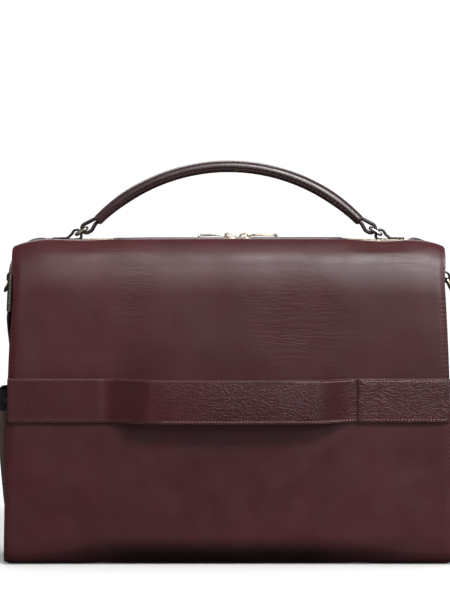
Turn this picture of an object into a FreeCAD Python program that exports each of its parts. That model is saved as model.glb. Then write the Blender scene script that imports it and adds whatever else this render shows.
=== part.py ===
"""A soft leather briefcase with an arched top handle and a trolley strap across its back.

Two zipped compartments stand either side of a centre gusset. A bottle pocket is on the left side and a
gusseted pocket is on the front. Millimetres. +Z is up, +X is to the right when the back is seen, and the
back with the trolley strap faces -Y. The origin is the centre of the base, on the surface below it.
"""

import FreeCAD
import Part
import math
import os
import Sketcher
from FreeCAD import Rotation, Vector

doc = FreeCAD.newDocument("Briefcase")
sheet = doc.addObject("Spreadsheet::Sheet", "Dims")

DIMENSIONS = {
    # body outline
    "base_half": 205,  # half the width across the base
    "top_half": 194.5,  # half the width at the top
    "body_height": 296,
    "half_depth": 52,  # from the centre to the back or front face
    "leather": 2.2,
    "roll_radius": 25,  # where a panel rolls over the top
    "heel_radius": 12,  # where a panel turns under the base
    "heel_end": 39,  # how far from the centre that turned edge ends
    "ear_radius": 8,  # top corners of a panel
    "foot_radius": 3,  # bottom corners of a panel
    "side_inset": 2,  # the side walls stand this far inside the panels' edges
    # centre gusset and zips
    "gusset_half": 16,
    "gusset_sink": 3,  # the gusset lies this far under the rolled tops
    "arch_radius": 32,  # where the gusset and zips turn from the top to the sides
    "arch_foot": 258,  # height at which the top gusset is sewn to the side gussets
    "zip_foot": 228,  # height of the zips' lower ends
    "zip_line": 21,  # from the centre to a zip's middle
    "tape_width": 2.6,
    "tape_thickness": 0.9,
    "tape_sink": 1.9,
    "teeth_half": 2,
    "teeth_thickness": 1.8,
    "zip_gap": 0.2,
    # handle
    "handle_radius": 171,
    "handle_top": 362.3,  # height of the grip's centreline at its crown
    "grip_angle": 45.3,  # from the crown to either end
    "grip_half_wide": 8.5,
    "grip_half_thick": 5.1,
    "core_radius": 3,
    "ring_foot_x": 140,
    "ring_head_x": 131.2,
    "ring_foot_z": 299.7,
    "ring_head_z": 305.2,
    "ring_wire": 3,
    "ring_half_wide": 8.4,
    "loop_half_wide": 5.1,
    "loop_outer": 5.4,
    "loop_leather": 2.1,
    "chape_outer": 4.1,
    "chape_hole": 2.1,
    "chape_length": 22,
    # trolley strap
    "strap_middle": 150,
    "strap_height": 39.4,
    "strap_thickness": 2.8,
    "strap_bow": 23,  # how far the middle stands off the back
    "bow_flat": 74,  # half the length of the strap's flat middle
    "bow_foot": 112,  # where the bow comes down to the back
    "patch_start": 117,
    "patch_thickness": 1.6,
    # sliders and pullers
    "slider_half_long": 5.9,
    "slider_half_wide": 4.4,
    "plate_thickness": 1.4,
    "pin_offset": 3.4,
    "pin_height": 2.9,
    "pin_radius": 0.7,
    "cheek_radius": 1.5,
    "puller_length": 27,
    "puller_half_wide": 2.4,
    "puller_thickness": 1.6,
    "sliders_meet": 8.3,  # where each zip's two sliders meet when it is closed
    "sliders_apart": 0.6,
    # shoulder-strap rings
    "d_pivot_x": 201.2,
    "d_pivot_z": 258.5,
    "d_wire": 2.8,
    "d_half_wide": 10,
    "d_length": 12,
    "d_tilt": 25,  # from straight down, outwards
    "d_tab_half_wide": 5.8,
    "d_tab_top": 279,
    # bottle pocket
    "bottle_half_wide": 33,
    "bottle_foot": 38,
    "bottle_rim": 139,
    "collar_rim": 158,
    "bottle_bulge": 14.5,
    "bottle_bulge_foot": 2.4,
    # front pocket
    "front_half": 148,
    "front_foot": 34,
    "front_rim": 196,
    "front_bulge": 13,
    # inside
    "board": 3,
    "padding": 4,
    "lining": 0.8,
    "play": 0.3,  # clearance between neighbours
}


class Size:
    """A length that knows both its number and the sheet formula that gives it."""

    def __init__(self, number, formula):
        self.number = number
        self.formula = formula

    @staticmethod
    def of(value):
        return value if isinstance(value, Size) else Size(float(value), repr(float(value)))

    def _join(self, other, sign, number):
        return Size(number, f"({self.formula} {sign} {other.formula})")

    def __add__(self, other):
        other = Size.of(other)
        return self._join(other, "+", self.number + other.number)

    def __sub__(self, other):
        other = Size.of(other)
        return self._join(other, "-", self.number - other.number)

    def __mul__(self, other):
        other = Size.of(other)
        return self._join(other, "*", self.number * other.number)

    def __truediv__(self, other):
        other = Size.of(other)
        return self._join(other, "/", self.number / other.number)

    def __neg__(self):
        return Size(-self.number, f"(0 - {self.formula})")

    def __radd__(self, other):
        return Size.of(other) + self

    def __rsub__(self, other):
        return Size.of(other) - self

    def __rmul__(self, other):
        return Size.of(other) * self


def cosine(angle):
    angle = Size.of(angle)
    return Size(math.cos(math.radians(angle.number)), f"cos({angle.formula} * 1 deg)")


def sine(angle):
    angle = Size.of(angle)
    return Size(math.sin(math.radians(angle.number)), f"sin({angle.formula} * 1 deg)")


class Dims:
    """The sheet's cells, one attribute each."""

    def __init__(self, table):
        for row, (alias, number) in enumerate(table.items(), start=1):
            sheet.set(f"A{row}", alias)
            sheet.set(f"B{row}", str(number))
            sheet.setAlias(f"B{row}", alias)
            setattr(self, alias, Size(float(number), f"Dims.{alias}"))


d = Dims(DIMENSIONS)
doc.recompute()

nodes = {}  # node name: document object
side_lean = (d.base_half - d.top_half) / d.body_height


def side_x(height, inset):
    """Half the width at a height, less an inset."""
    return d.base_half - side_lean * height - inset


# ---------------------------------------------------------------- building blocks


def bind(thing, path, size):
    thing.setExpression(path, Size.of(size).formula)


def place(thing, x=0, y=0, z=0, axis=None, angle=0):
    """Puts a finished object at a bound position, turned about an axis by a bound angle."""
    if axis:
        thing.Placement.Rotation = Rotation(Vector(*axis), Size.of(angle).number)
        bind(thing, "Placement.Rotation.Angle", angle)
    for letter, size in zip("xyz", (x, y, z)):
        bind(thing, f"Placement.Base.{letter}", size)
    return thing


def corner_tangents(before, corner, after, radius):
    """Where an arc of that radius in a corner touches its two sides, and the arc's centre."""
    into = (before - corner).normalize()
    out = (after - corner).normalize()
    half = into.getAngle(out) / 2
    reach = radius / math.tan(half)
    middle = (into + out).normalize()
    return corner + into * reach, corner + out * reach, corner + middle * (radius / math.sin(half))


def arc_through(centre, radius, start, end):
    """A sketch arc from start to end by the short way, and which of its ends is at start."""
    angles = [math.atan2(p.y - centre.y, p.x - centre.x) for p in (start, end)]
    turn = (angles[1] - angles[0]) % (2 * math.pi)
    circle = Part.Circle(centre, Vector(0, 0, 1), radius)
    if turn < math.pi:
        return Part.ArcOfCircle(circle, angles[0], angles[0] + turn), 1
    return Part.ArcOfCircle(circle, angles[1], angles[1] + 2 * math.pi - turn), 2


def pin_point(sketch, corner):
    """A construction point whose two coordinates are bound to the sheet."""
    x, y = (Size.of(c) for c in corner[:2])
    index = sketch.addGeometry(Part.Point(Vector(x.number, y.number, 0)), True)
    for kind, size, axis in (("DistanceX", x, -2), ("DistanceY", y, -1)):
        if abs(size.number) < 1e-9:
            sketch.addConstraint(Sketcher.Constraint("PointOnObject", index, 1, axis))
        else:
            held = sketch.addConstraint(Sketcher.Constraint(kind, -1, 1, index, 1, size.number))
            bind(sketch, f"Constraints[{held}]", size)
    return index


def outline(sketch, corners):
    """A closed outline through corners (x, y) or (x, y, radius), fully constrained."""
    count = len(corners)
    points = [Vector(*(Size.of(c).number for c in corner[:2]), 0) for corner in corners]
    pins = [pin_point(sketch, corner) for corner in corners]
    radii = [Size.of(c[2]) if len(c) > 2 else None for c in corners]
    starts, ends, centres = list(points), list(points), [None] * count
    for i, radius in enumerate(radii):
        if radius:
            touch = corner_tangents(points[i - 1], points[i], points[(i + 1) % count], radius.number)
            ends[i], starts[i], centres[i] = touch
    sides = [
        sketch.addGeometry(Part.LineSegment(starts[i], ends[(i + 1) % count]), False)
        for i in range(count)
    ]
    for i, radius in enumerate(radii):
        into, out = sides[i - 1], sides[i]
        if not radius:
            sketch.addConstraint(Sketcher.Constraint("Coincident", into, 2, pins[i], 1))
            sketch.addConstraint(Sketcher.Constraint("Coincident", out, 1, pins[i], 1))
            continue
        shape, first = arc_through(centres[i], radius.number, ends[i], starts[i])
        arc = sketch.addGeometry(shape, False)
        sketch.addConstraint(Sketcher.Constraint("PointOnObject", pins[i], 1, into))
        sketch.addConstraint(Sketcher.Constraint("PointOnObject", pins[i], 1, out))
        sketch.addConstraint(Sketcher.Constraint("Tangent", into, 2, arc, first))
        sketch.addConstraint(Sketcher.Constraint("Tangent", out, 1, arc, 3 - first))
        held = sketch.addConstraint(Sketcher.Constraint("Radius", arc, radius.number))
        bind(sketch, f"Constraints[{held}]", radius)


def circle(sketch, x, y, radius):
    centre = pin_point(sketch, (x, y))
    size = Size.of(radius)
    middle = Vector(Size.of(x).number, Size.of(y).number, 0)
    ring = sketch.addGeometry(Part.Circle(middle, Vector(0, 0, 1), size.number), False)
    sketch.addConstraint(Sketcher.Constraint("Coincident", ring, 3, centre, 1))
    held = sketch.addConstraint(Sketcher.Constraint("Radius", ring, size.number))
    bind(sketch, f"Constraints[{held}]", size)


def new_body(name):
    return doc.addObject("PartDesign::Body", name)


def new_sketch(body, plane, offset=0):
    """A sketch on one of the body's own origin planes, moved along the plane's normal."""
    sketch = body.newObject("Sketcher::SketchObject", f"{body.Name}_sketch")
    found = [f for f in body.Origin.OriginFeatures if f.Role == f"{plane}_Plane"]
    sketch.AttachmentSupport = [(found[0], "")]
    sketch.MapMode = "FlatFace"
    bind(sketch, "AttachmentOffset.Base.z", offset)
    return sketch


def pad(body, plane, corners, low, high, holes=(), bores=()):
    """Extrudes an outline between two heights along the axis that the plane doesn't hold."""
    low, high = Size.of(low), Size.of(high)
    start = -high if plane == "XZ" else low  # the XZ plane's normal is -Y
    sketch = new_sketch(body, plane, start)
    outline(sketch, corners)
    for hole in holes:
        outline(sketch, hole)
    for bore in bores:
        circle(sketch, *bore)
    feature = body.newObject("PartDesign::Pad", f"{body.Name}_pad")
    feature.Profile = sketch
    bind(feature, "Length", high - low)
    doc.recompute()
    return feature


def cut(body, plane, corners, low, high, holes=()):
    """Removes an extruded outline from a body, and checks that it removed something."""
    low, high = Size.of(low), Size.of(high)
    before = body.Shape.Volume
    sketch = new_sketch(body, plane, -low if plane == "XZ" else high)
    outline(sketch, corners)
    for hole in holes:
        outline(sketch, hole)
    feature = body.newObject("PartDesign::Pocket", f"{body.Name}_pocket")
    feature.Profile = sketch
    bind(feature, "Length", high - low)
    doc.recompute()
    if not body.Shape.Volume < before - 1e-3:
        raise RuntimeError(f"{body.Name}: a pocket cut nothing")
    return feature


def soften(body, radius, chosen):
    """Rounds the edges of a body's tip that chosen() picks."""
    tip = body.Tip
    names = [f"Edge{i}" for i, edge in enumerate(tip.Shape.Edges, start=1) if chosen(edge)]
    feature = body.newObject("PartDesign::Fillet", f"{body.Name}_fillet")
    feature.Base = (tip, names)
    bind(feature, "Radius", radius)
    doc.recompute()
    return feature


def slab(name, plane, corners, low, high, holes=(), bores=()):
    body = new_body(name)
    pad(body, plane, corners, low, high, holes, bores)
    return body


def keep(name, thing):
    """Makes an object a sub-part under its node name."""
    thing.Label = name
    nodes[name] = thing
    return thing


def group(name, things):
    """Several separate solids that share one node."""
    made = doc.addObject("Part::Compound", f"{name}_group")
    made.Links = list(things)
    return keep(name, made)


def rectangle(x_low, x_high, y_low, y_high, radius=None):
    corners = [(x_low, y_low), (x_high, y_low), (x_high, y_high), (x_low, y_high)]
    return [(*c, radius) for c in corners] if radius else corners


SIDES = (("left", -1), ("right", 1))
FACES = (("rear", -1), ("front", 1))


# ---------------------------------------------------------------- leather shell


def panel(name, face):
    """One leather sheet: it rolls over the top, hangs flat, and turns under the base."""
    back, inner = face * d.half_depth, face * (d.half_depth - d.leather)
    top, inner_top = d.body_height, d.body_height - d.leather
    zip_edge = face * (d.zip_line + d.teeth_half + d.tape_width + 2 * d.zip_gap)
    profile = [
        (zip_edge, top),
        (back, top, d.roll_radius),
        (back, 0, d.heel_radius),
        (face * d.heel_end, 0),
        (face * d.heel_end, d.leather),
        (inner, d.leather, d.heel_radius - d.leather),
        (inner, inner_top, d.roll_radius - d.leather),
        (zip_edge, inner_top),
    ]
    body = slab(name, "YZ", profile, -d.base_half, d.base_half)
    margin = 20
    around = rectangle(-d.base_half - margin, d.base_half + margin, -margin, top + margin)
    sheet_outline = [
        (-d.base_half, 0, d.foot_radius),
        (d.base_half, 0, d.foot_radius),
        (d.top_half, top, d.ear_radius),
        (-d.top_half, top, d.ear_radius),
    ]
    low, high = sorted((face * d.half_depth, Size.of(0)), key=lambda size: size.number)
    cut(body, "XZ", around, low - margin, high + margin, holes=[sheet_outline])
    keep(name, body)


def side_gusset(name, side):
    """The centre gusset's sewn-in lower part, wide below the zips and narrow between them."""
    foot = d.leather + d.play
    wide = d.zip_line + d.teeth_half + d.tape_width

    def wall(low, high, reach):
        outer = [(side * side_x(low, d.side_inset), low), (side * side_x(high, d.side_inset), high)]
        thick = d.side_inset + d.leather
        inner = [(side * side_x(high, thick), high), (side * side_x(low, thick), low)]
        return outer + inner, -reach, reach

    body = new_body(name)
    pad(body, "XZ", *wall(foot, d.zip_foot - 1, wide))
    pad(body, "XZ", *wall(d.zip_foot - 2, d.arch_foot - d.play, d.gusset_half))
    keep(name, body)


def side_strip(name, side, face):
    """The strip of leather between a panel's side edge and the zip."""
    gap = d.leather + d.play
    edge = face * (d.half_depth - gap)
    zip_edge = face * (d.zip_line + d.teeth_half + d.tape_width + d.play)
    shape = [
        (zip_edge, gap),
        (zip_edge, d.body_height - gap),
        (edge, d.body_height - gap, d.roll_radius - gap),
        (edge, gap, d.heel_radius - gap),
    ]
    reach = d.side_inset + d.leather
    low, high = sorted((side * d.base_half, side * (d.top_half - reach)), key=lambda s: s.number)
    body = slab(name, "YZ", shape, low, high)
    far = d.base_half + 20
    foot, head = Size.of(-20), d.body_height + 20
    outside = [
        (side * side_x(foot, d.side_inset), foot),
        (side * far, foot),
        (side * far, head),
        (side * side_x(head, d.side_inset), head),
    ]
    near = d.top_half - 60
    inside = [
        (side * near, foot),
        (side * side_x(foot, reach), foot),
        (side * side_x(head, reach), head),
        (side * near, head),
    ]
    cut(body, "XZ", outside, -d.half_depth - 5, d.half_depth + 5)
    cut(body, "XZ", inside, -d.half_depth - 5, d.half_depth + 5)
    keep(name, body)


def arch(name, foot, sink, thick, y_low, y_high):
    """A strip that runs up one side, round both top corners and down the other side."""
    top = d.body_height - sink
    inset = d.side_inset + (sink - d.gusset_sink) / 2
    under = top - thick
    deep = inset + thick
    radius = d.arch_radius - sink
    shape = [
        (-side_x(foot, inset), foot),
        (-side_x(top, inset), top, radius),
        (side_x(top, inset), top, radius),
        (side_x(foot, inset), foot),
        (side_x(foot, deep), foot),
        (side_x(under, deep), under, radius - thick),
        (-side_x(under, deep), under, radius - thick),
        (-side_x(foot, deep), foot),
    ]
    low, high = sorted((Size.of(y_low), Size.of(y_high)), key=lambda s: s.number)
    return slab(name, "XZ", shape, low, high)


def shell():
    for word, face in FACES:
        panel(f"{word}_panel", face)
        for hand, side in SIDES:
            side_strip(f"{word}_side_strip_{hand}", side, face)
    for hand, side in SIDES:
        side_gusset(f"side_gusset_{hand}", side)
    top = arch("top_gusset_body", d.arch_foot, d.gusset_sink, d.leather, -d.gusset_half, d.gusset_half)
    keep("top_gusset", top)
    base_x = d.base_half - d.side_inset - d.leather - 1
    base_y = d.heel_end - d.play
    keep("base_panel", slab("base", "XY", rectangle(-base_x, base_x, -base_y, base_y), 0, d.leather))


# ---------------------------------------------------------------- zips


def zip_fastener(word, face):
    """Two tapes with the closed chain of teeth between them, and what finishes their ends."""
    chain = d.teeth_half + d.zip_gap
    tapes = [
        arch(
            f"{word}_tape_{where}",
            d.zip_foot,
            d.tape_sink,
            d.tape_thickness,
            face * (d.zip_line + away * chain),
            face * (d.zip_line + away * (chain + d.tape_width)),
        )
        for where, away in (("inner", -1), ("outer", 1))
    ]
    group(f"{word}_zip_tapes", tapes)
    teeth = arch(
        f"{word}_teeth",
        d.zip_foot + 3,
        Size.of(0.4),
        d.teeth_thickness,
        face * (d.zip_line - d.teeth_half),
        face * (d.zip_line + d.teeth_half),
    )
    keep(f"{word}_zip_teeth", teeth)
    stops = [
        slab(
            f"{word}_stop_{hand}",
            "XZ",
            [
                (side * side_x(d.zip_foot, Size.of(0.2)), d.zip_foot - 0.4),
                (side * side_x(d.zip_foot, Size.of(0.2)), d.zip_foot + 2.6),
                (side * side_x(d.zip_foot, Size.of(1.8)), d.zip_foot + 2.6),
                (side * side_x(d.zip_foot, Size.of(1.8)), d.zip_foot - 0.4),
            ],
            *sorted(
                (face * (d.zip_line - d.teeth_half), face * (d.zip_line + d.teeth_half)),
                key=lambda s: s.number,
            ),
        )
        for hand, side in SIDES
    ]
    group(f"{word}_zip_stops", stops)


def slider(name, centre_x, y, base_z, side):
    """A slider's plate, its flanges beside the teeth, and two cheeks that hold the puller's pin."""
    body = new_body(f"{name}_body")
    low = base_z + 0.3
    plate = low + d.plate_thickness
    pin_x, pin_z = centre_x + side * d.pin_offset, low + d.pin_height
    long_low, long_high = centre_x - d.slider_half_long, centre_x + d.slider_half_long
    pad(
        body,
        "XY",
        rectangle(long_low, long_high, y - d.slider_half_wide, y + d.slider_half_wide, 1.6),
        low,
        plate,
    )
    for away in (-1, 1):
        edges = sorted(
            (y + away * (d.teeth_half + 0.4), y + away * d.slider_half_wide), key=lambda s: s.number
        )
        pad(body, "XY", rectangle(centre_x - 4, centre_x + 4, *edges), low - 1.1, low + 0.5)
        cheeks = sorted((y + away * 1.6, y + away * 2.6), key=lambda s: s.number)
        cheek = [
            (centre_x - side * 4.6, low + 0.5),
            (centre_x - side * 4.2, plate + 1.4, 1.0),
            (centre_x - side * 0.6, plate + 3.4, 2.2),
            (pin_x + side * d.cheek_radius, pin_z + d.cheek_radius, 1.3),
            (pin_x + side * d.cheek_radius, low + 0.5),
        ]
        pad(body, "XZ", cheek, *cheeks)
    hump = [
        (centre_x - side * 4.6, low + 0.5),
        (centre_x - side * 4.2, plate + 1.4, 1.0),
        (centre_x - side * 1.4, plate + 3.0, 2.0),
        (centre_x + side * 0.4, low + 0.5),
    ]
    pad(body, "XZ", hump, y - 2, y + 2)
    pin = new_sketch(body, "XZ", -(y + 2))
    circle(pin, pin_x, pin_z, d.pin_radius)
    shaft = body.newObject("PartDesign::Pad", f"{name}_pin")
    shaft.Profile = pin
    bind(shaft, "Length", Size.of(4))
    doc.recompute()
    keep(name, body)
    return pin_x, pin_z


def puller(name, pin_x, pin_z, y, side):
    """A flat bar with a knuckle round the slider's pin and a small knob at its far end."""
    body = new_body(f"{name}_body")
    half = d.puller_thickness / 2
    neck_end = pin_x + side * 2.6
    tip = pin_x + side * d.puller_length
    knuckle = [
        (pin_x - side * d.pin_height / 2.3, pin_z - 1.35, 1.2),
        (pin_x + side * 1.8, pin_z - 1.35, 0.8),
        (neck_end + side * 1.2, pin_z - half),
        (neck_end + side * 1.2, pin_z + half),
        (pin_x + side * 1.8, pin_z + 1.35, 0.8),
        (pin_x - side * d.pin_height / 2.3, pin_z + 1.35, 1.2),
    ]
    pad(body, "XZ", knuckle, y - 1.3, y + 1.3, bores=[(pin_x, pin_z, d.pin_radius + 0.08)])
    wide = d.puller_half_wide
    bar = [
        (neck_end, y - 1.2),
        (neck_end + side * 3, y - wide, 2),
        (tip, y - wide, 2.2),
        (tip, y + wide, 2.2),
        (neck_end + side * 3, y + wide, 2),
        (neck_end, y + 1.2),
    ]
    pad(body, "XY", bar, pin_z - half, pin_z + half)
    knob = rectangle(tip - side * 3.4, tip - side * 0.2, y - 1.6, y + 1.6, 1.5)
    pad(body, "XY", knob, pin_z - half - 0.5, pin_z + half + 0.5)
    keep(name, body)


def zips():
    apart = d.slider_half_long + d.sliders_apart
    for word, face in FACES:
        zip_fastener(word, face)
        for hand, side in SIDES:
            centre = d.sliders_meet + side * apart
            y = face * d.zip_line
            pin = slider(f"{word}_slider_{hand}", centre, y, d.body_height - 0.4, side)
            puller(f"{word}_puller_{hand}", *pin, y, side)


# ---------------------------------------------------------------- handle


def revolved(name, corners, bore=None):
    """A section swept along the grip's arc, about the arc's own centre."""
    body = new_body(name)
    sketch = new_sketch(body, "YZ")
    if corners:
        outline(sketch, corners)
    if bore:
        circle(sketch, 0, d.handle_top, bore)
    centre = d.handle_top - d.handle_radius
    low, high = (
        sketch.addGeometry(Part.Point(Vector(x, centre.number, 0)), True) for x in (-20, 20)
    )
    axis = sketch.addGeometry(
        Part.LineSegment(Vector(-20, centre.number, 0), Vector(20, centre.number, 0)), True
    )
    for point, end, x in ((low, 1, -20), (high, 2, 20)):
        sketch.addConstraint(Sketcher.Constraint("Coincident", axis, end, point, 1))
        sketch.addConstraint(Sketcher.Constraint("DistanceX", -1, 1, point, 1, x))
        held = sketch.addConstraint(
            Sketcher.Constraint("DistanceY", -1, 1, point, 1, centre.number)
        )
        bind(sketch, f"Constraints[{held}]", centre)
    turn = body.newObject("PartDesign::Revolution", f"{name}_turn")
    turn.Profile = sketch
    turn.ReferenceAxis = (sketch, ["Axis0"])
    turn.Midplane = True
    bind(turn, "Angle", 2 * d.grip_angle)
    doc.recompute()
    return body


def handle_loop(name, side):
    """The strap end that comes out of the grip and goes round the ring's upper bar."""
    angle = d.grip_angle - 8
    along = (side * cosine(angle), -sine(angle))
    across = (side * sine(angle), cosine(angle))
    grip_end = (
        side * d.handle_radius * sine(d.grip_angle),
        d.handle_top - d.handle_radius + d.handle_radius * cosine(d.grip_angle),
    )
    bar = (side * d.ring_head_x, d.ring_head_z)

    def point(origin, forward, sideways, *radius):
        return (
            origin[0] + along[0] * forward + across[0] * sideways,
            origin[1] + along[1] * forward + across[1] * sideways,
            *radius,
        )

    out, hole = d.loop_outer, d.loop_outer - d.loop_leather
    outer = [
        point(grip_end, 0.6, -2.6),
        point(bar, -2.5, -out, 2.5),
        point(bar, out, -out, out - 0.3),
        point(bar, out, out, out - 0.3),
        point(bar, -2.5, out, 2.5),
        point(grip_end, 0.6, 2.6),
    ]
    eye = [
        point(bar, -2.2, -hole, 1.0),
        point(bar, hole, -hole, hole - 0.3),
        point(bar, hole, hole, hole - 0.3),
        point(bar, -2.2, hole, 1.0),
        point(bar, -6.6, 0.2, 0.4),
    ]
    body = slab(f"{name}_body", "XZ", outer, -d.loop_half_wide, d.loop_half_wide, holes=[eye])
    keep(name, body)


def ring(name, side):
    """A rounded rectangular ring that links the handle's loop to the chape."""
    rise = d.ring_head_z - d.ring_foot_z
    run = d.ring_foot_x - d.ring_head_x
    length = math.hypot(rise.number, run.number)
    span = Size(length, f"sqrt({rise.formula} ^ 2 + {run.formula} ^ 2)")
    angle = Size(
        math.degrees(math.atan2(rise.number, run.number)), f"(atan2({rise.formula}; {run.formula}) / 1 deg)"
    )
    wire = d.ring_wire / 2
    outer = rectangle(-wire, span + wire, -d.ring_half_wide, d.ring_half_wide, 3.4)
    inner_wide = d.ring_half_wide - d.ring_wire
    hole = rectangle(wire, span - wire, -inner_wide, inner_wide, 1.2)
    body = slab(f"{name}_body", "XY", outer, -wire, wire, holes=[hole])
    soften(body, Size.of(1.1), lambda edge: abs(abs(edge.CenterOfMass.z) - wire.number) < 1e-6)
    turn = -angle if side < 0 else angle + 180
    place(body, side * d.ring_foot_x, 0, d.ring_foot_z, axis=(0, 1, 0), angle=turn)
    keep(name, body)


def chape(name, side):
    """The leather chape sewn to the top gusset, with its loop round the ring's lower bar."""
    floor = d.body_height - d.gusset_sink + d.play / 3
    bar_x, bar_z = side * d.ring_foot_x, d.ring_foot_z
    out = d.chape_outer
    end = bar_x + side * d.chape_length
    shape = [
        (end, floor),
        (end, floor + 1.6, 1.2),
        (bar_x + side * (out + 2.2), floor + 2.2, 3),
        (bar_x + side * out, bar_z + out, out - 0.2),
        (bar_x - side * out, bar_z + out, out - 0.2),
        (bar_x - side * out, floor, 2.5),
    ]
    body = slab(
        f"{name}_body",
        "XZ",
        shape,
        -d.loop_half_wide,
        d.loop_half_wide,
        bores=[(bar_x, bar_z, d.chape_hole)],
    )
    hole = rectangle(end - side * 6.4 - 1.25, end - side * 6.4 + 1.25, -1.25, 1.25, 1.2)
    cut(body, "XY", hole, floor - 1, floor + 4)
    keep(name, body)
    shank = end - side * 6.4
    head = rectangle(shank - 2.2, shank + 2.2, -2.2, 2.2, 2.1)
    stud = slab(f"{name}_stud", "XY", head, floor + 2.0, floor + 3.2)
    pad(stud, "XY", rectangle(shank - 1.1, shank + 1.1, -1.1, 1.1, 1.0), floor + 0.1, floor + 2.4)
    return stud


def handle():
    wide, thick = d.grip_half_wide, d.grip_half_thick
    section = rectangle(-wide, wide, d.handle_top - thick, d.handle_top + thick, thick - 0.2)
    keep("handle_grip", revolved("grip", section, d.core_radius + 0.1))
    keep("handle_core", revolved("core", None, d.core_radius))
    studs = []
    for hand, side in SIDES:
        handle_loop(f"handle_loop_{hand}", side)
        ring(f"handle_ring_{hand}", side)
        studs.append(chape(f"handle_chape_{hand}", side))
    group("chape_rivets", studs)


# ---------------------------------------------------------------- trolley strap


def trolley_strap():
    """A strap across the back whose middle bows out round a suitcase's handle tubes."""
    face = -d.half_depth - d.play
    thick = d.strap_thickness
    end = side_x(d.strap_middle, Size.of(1.5))
    low, high = d.strap_middle - d.strap_height / 2, d.strap_middle + d.strap_height / 2
    crown = face - d.strap_bow
    bend, turn = 16, 12

    def run(offset, order):
        corners = [
            (-end, face - offset),
            (-d.bow_foot, face - offset, bend),
            (-d.bow_flat, crown - offset, turn),
            (d.bow_flat, crown - offset, turn),
            (d.bow_foot, face - offset, bend),
            (end, face - offset),
        ]
        return corners[::order]

    keep("trolley_strap", slab("trolley", "XY", run(0, 1) + run(thick, -1), low, high))
    outer = face - thick - d.play / 3
    for hand, side in SIDES:
        edges = sorted((side * d.patch_start, side * end), key=lambda s: s.number)
        patch = slab(
            f"patch_{hand}", "XZ", rectangle(*edges, low, high), outer - d.patch_thickness, outer
        )
        keep(f"trolley_patch_{hand}", patch)


# ---------------------------------------------------------------- side rings and pockets


def side_ring(hand, side):
    """A D-shaped ring that hangs from a leather tab riveted to the side gusset."""
    wire = d.d_wire / 2
    outer = [
        (-wire, -d.d_half_wide, 1.6),
        (d.d_length + wire, -d.d_half_wide, 8.5),
        (d.d_length + wire, d.d_half_wide, 8.5),
        (-wire, d.d_half_wide, 1.6),
    ]
    inner_wide = d.d_half_wide - d.d_wire
    hole = [
        (wire, -inner_wide, 0.8),
        (d.d_length - wire, -inner_wide, 6),
        (d.d_length - wire, inner_wide, 6),
        (wire, inner_wide, 0.8),
    ]
    body = slab(f"d_ring_{hand}_body", "XY", outer, -wire, wire, holes=[hole])
    soften(body, Size.of(1.1), lambda edge: abs(abs(edge.CenterOfMass.z) - wire.number) < 1e-6)
    turn = 90 + d.d_tilt if side < 0 else 90 - d.d_tilt
    place(body, side * d.d_pivot_x, 0, d.d_pivot_z, axis=(0, 1, 0), angle=turn)
    keep(f"d_ring_{hand}", body)

    wall = side_x(d.d_pivot_z, d.side_inset) + d.play
    wall_top = side_x(d.d_tab_top, d.side_inset) + d.play
    out = 3.9
    tab = [
        (side * wall, d.d_pivot_z - out, 1.5),
        (side * (d.d_pivot_x + out), d.d_pivot_z - out, out - 0.3),
        (side * (d.d_pivot_x + out), d.d_pivot_z + out, out - 0.3),
        (side * (wall + 2.4), d.d_pivot_z + out + 3, 3),
        (side * (wall_top + 2.0), d.d_tab_top),
        (side * wall_top, d.d_tab_top),
    ]
    loop = slab(
        f"d_tab_{hand}",
        "XZ",
        tab,
        -d.d_tab_half_wide,
        d.d_tab_half_wide,
        bores=[(side * d.d_pivot_x, d.d_pivot_z, 1.95)],
    )
    keep(f"d_ring_tab_{hand}", loop)
    stud_z = d.d_tab_top - 5.5
    face = wall_top + 2.8
    edges = sorted((side * face, side * (face + 1.3)), key=lambda s: s.number)
    return slab(f"d_stud_{hand}", "YZ", rectangle(-2.2, 2.2, stud_z - 2.2, stud_z + 2.2, 2.1), *edges)


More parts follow.
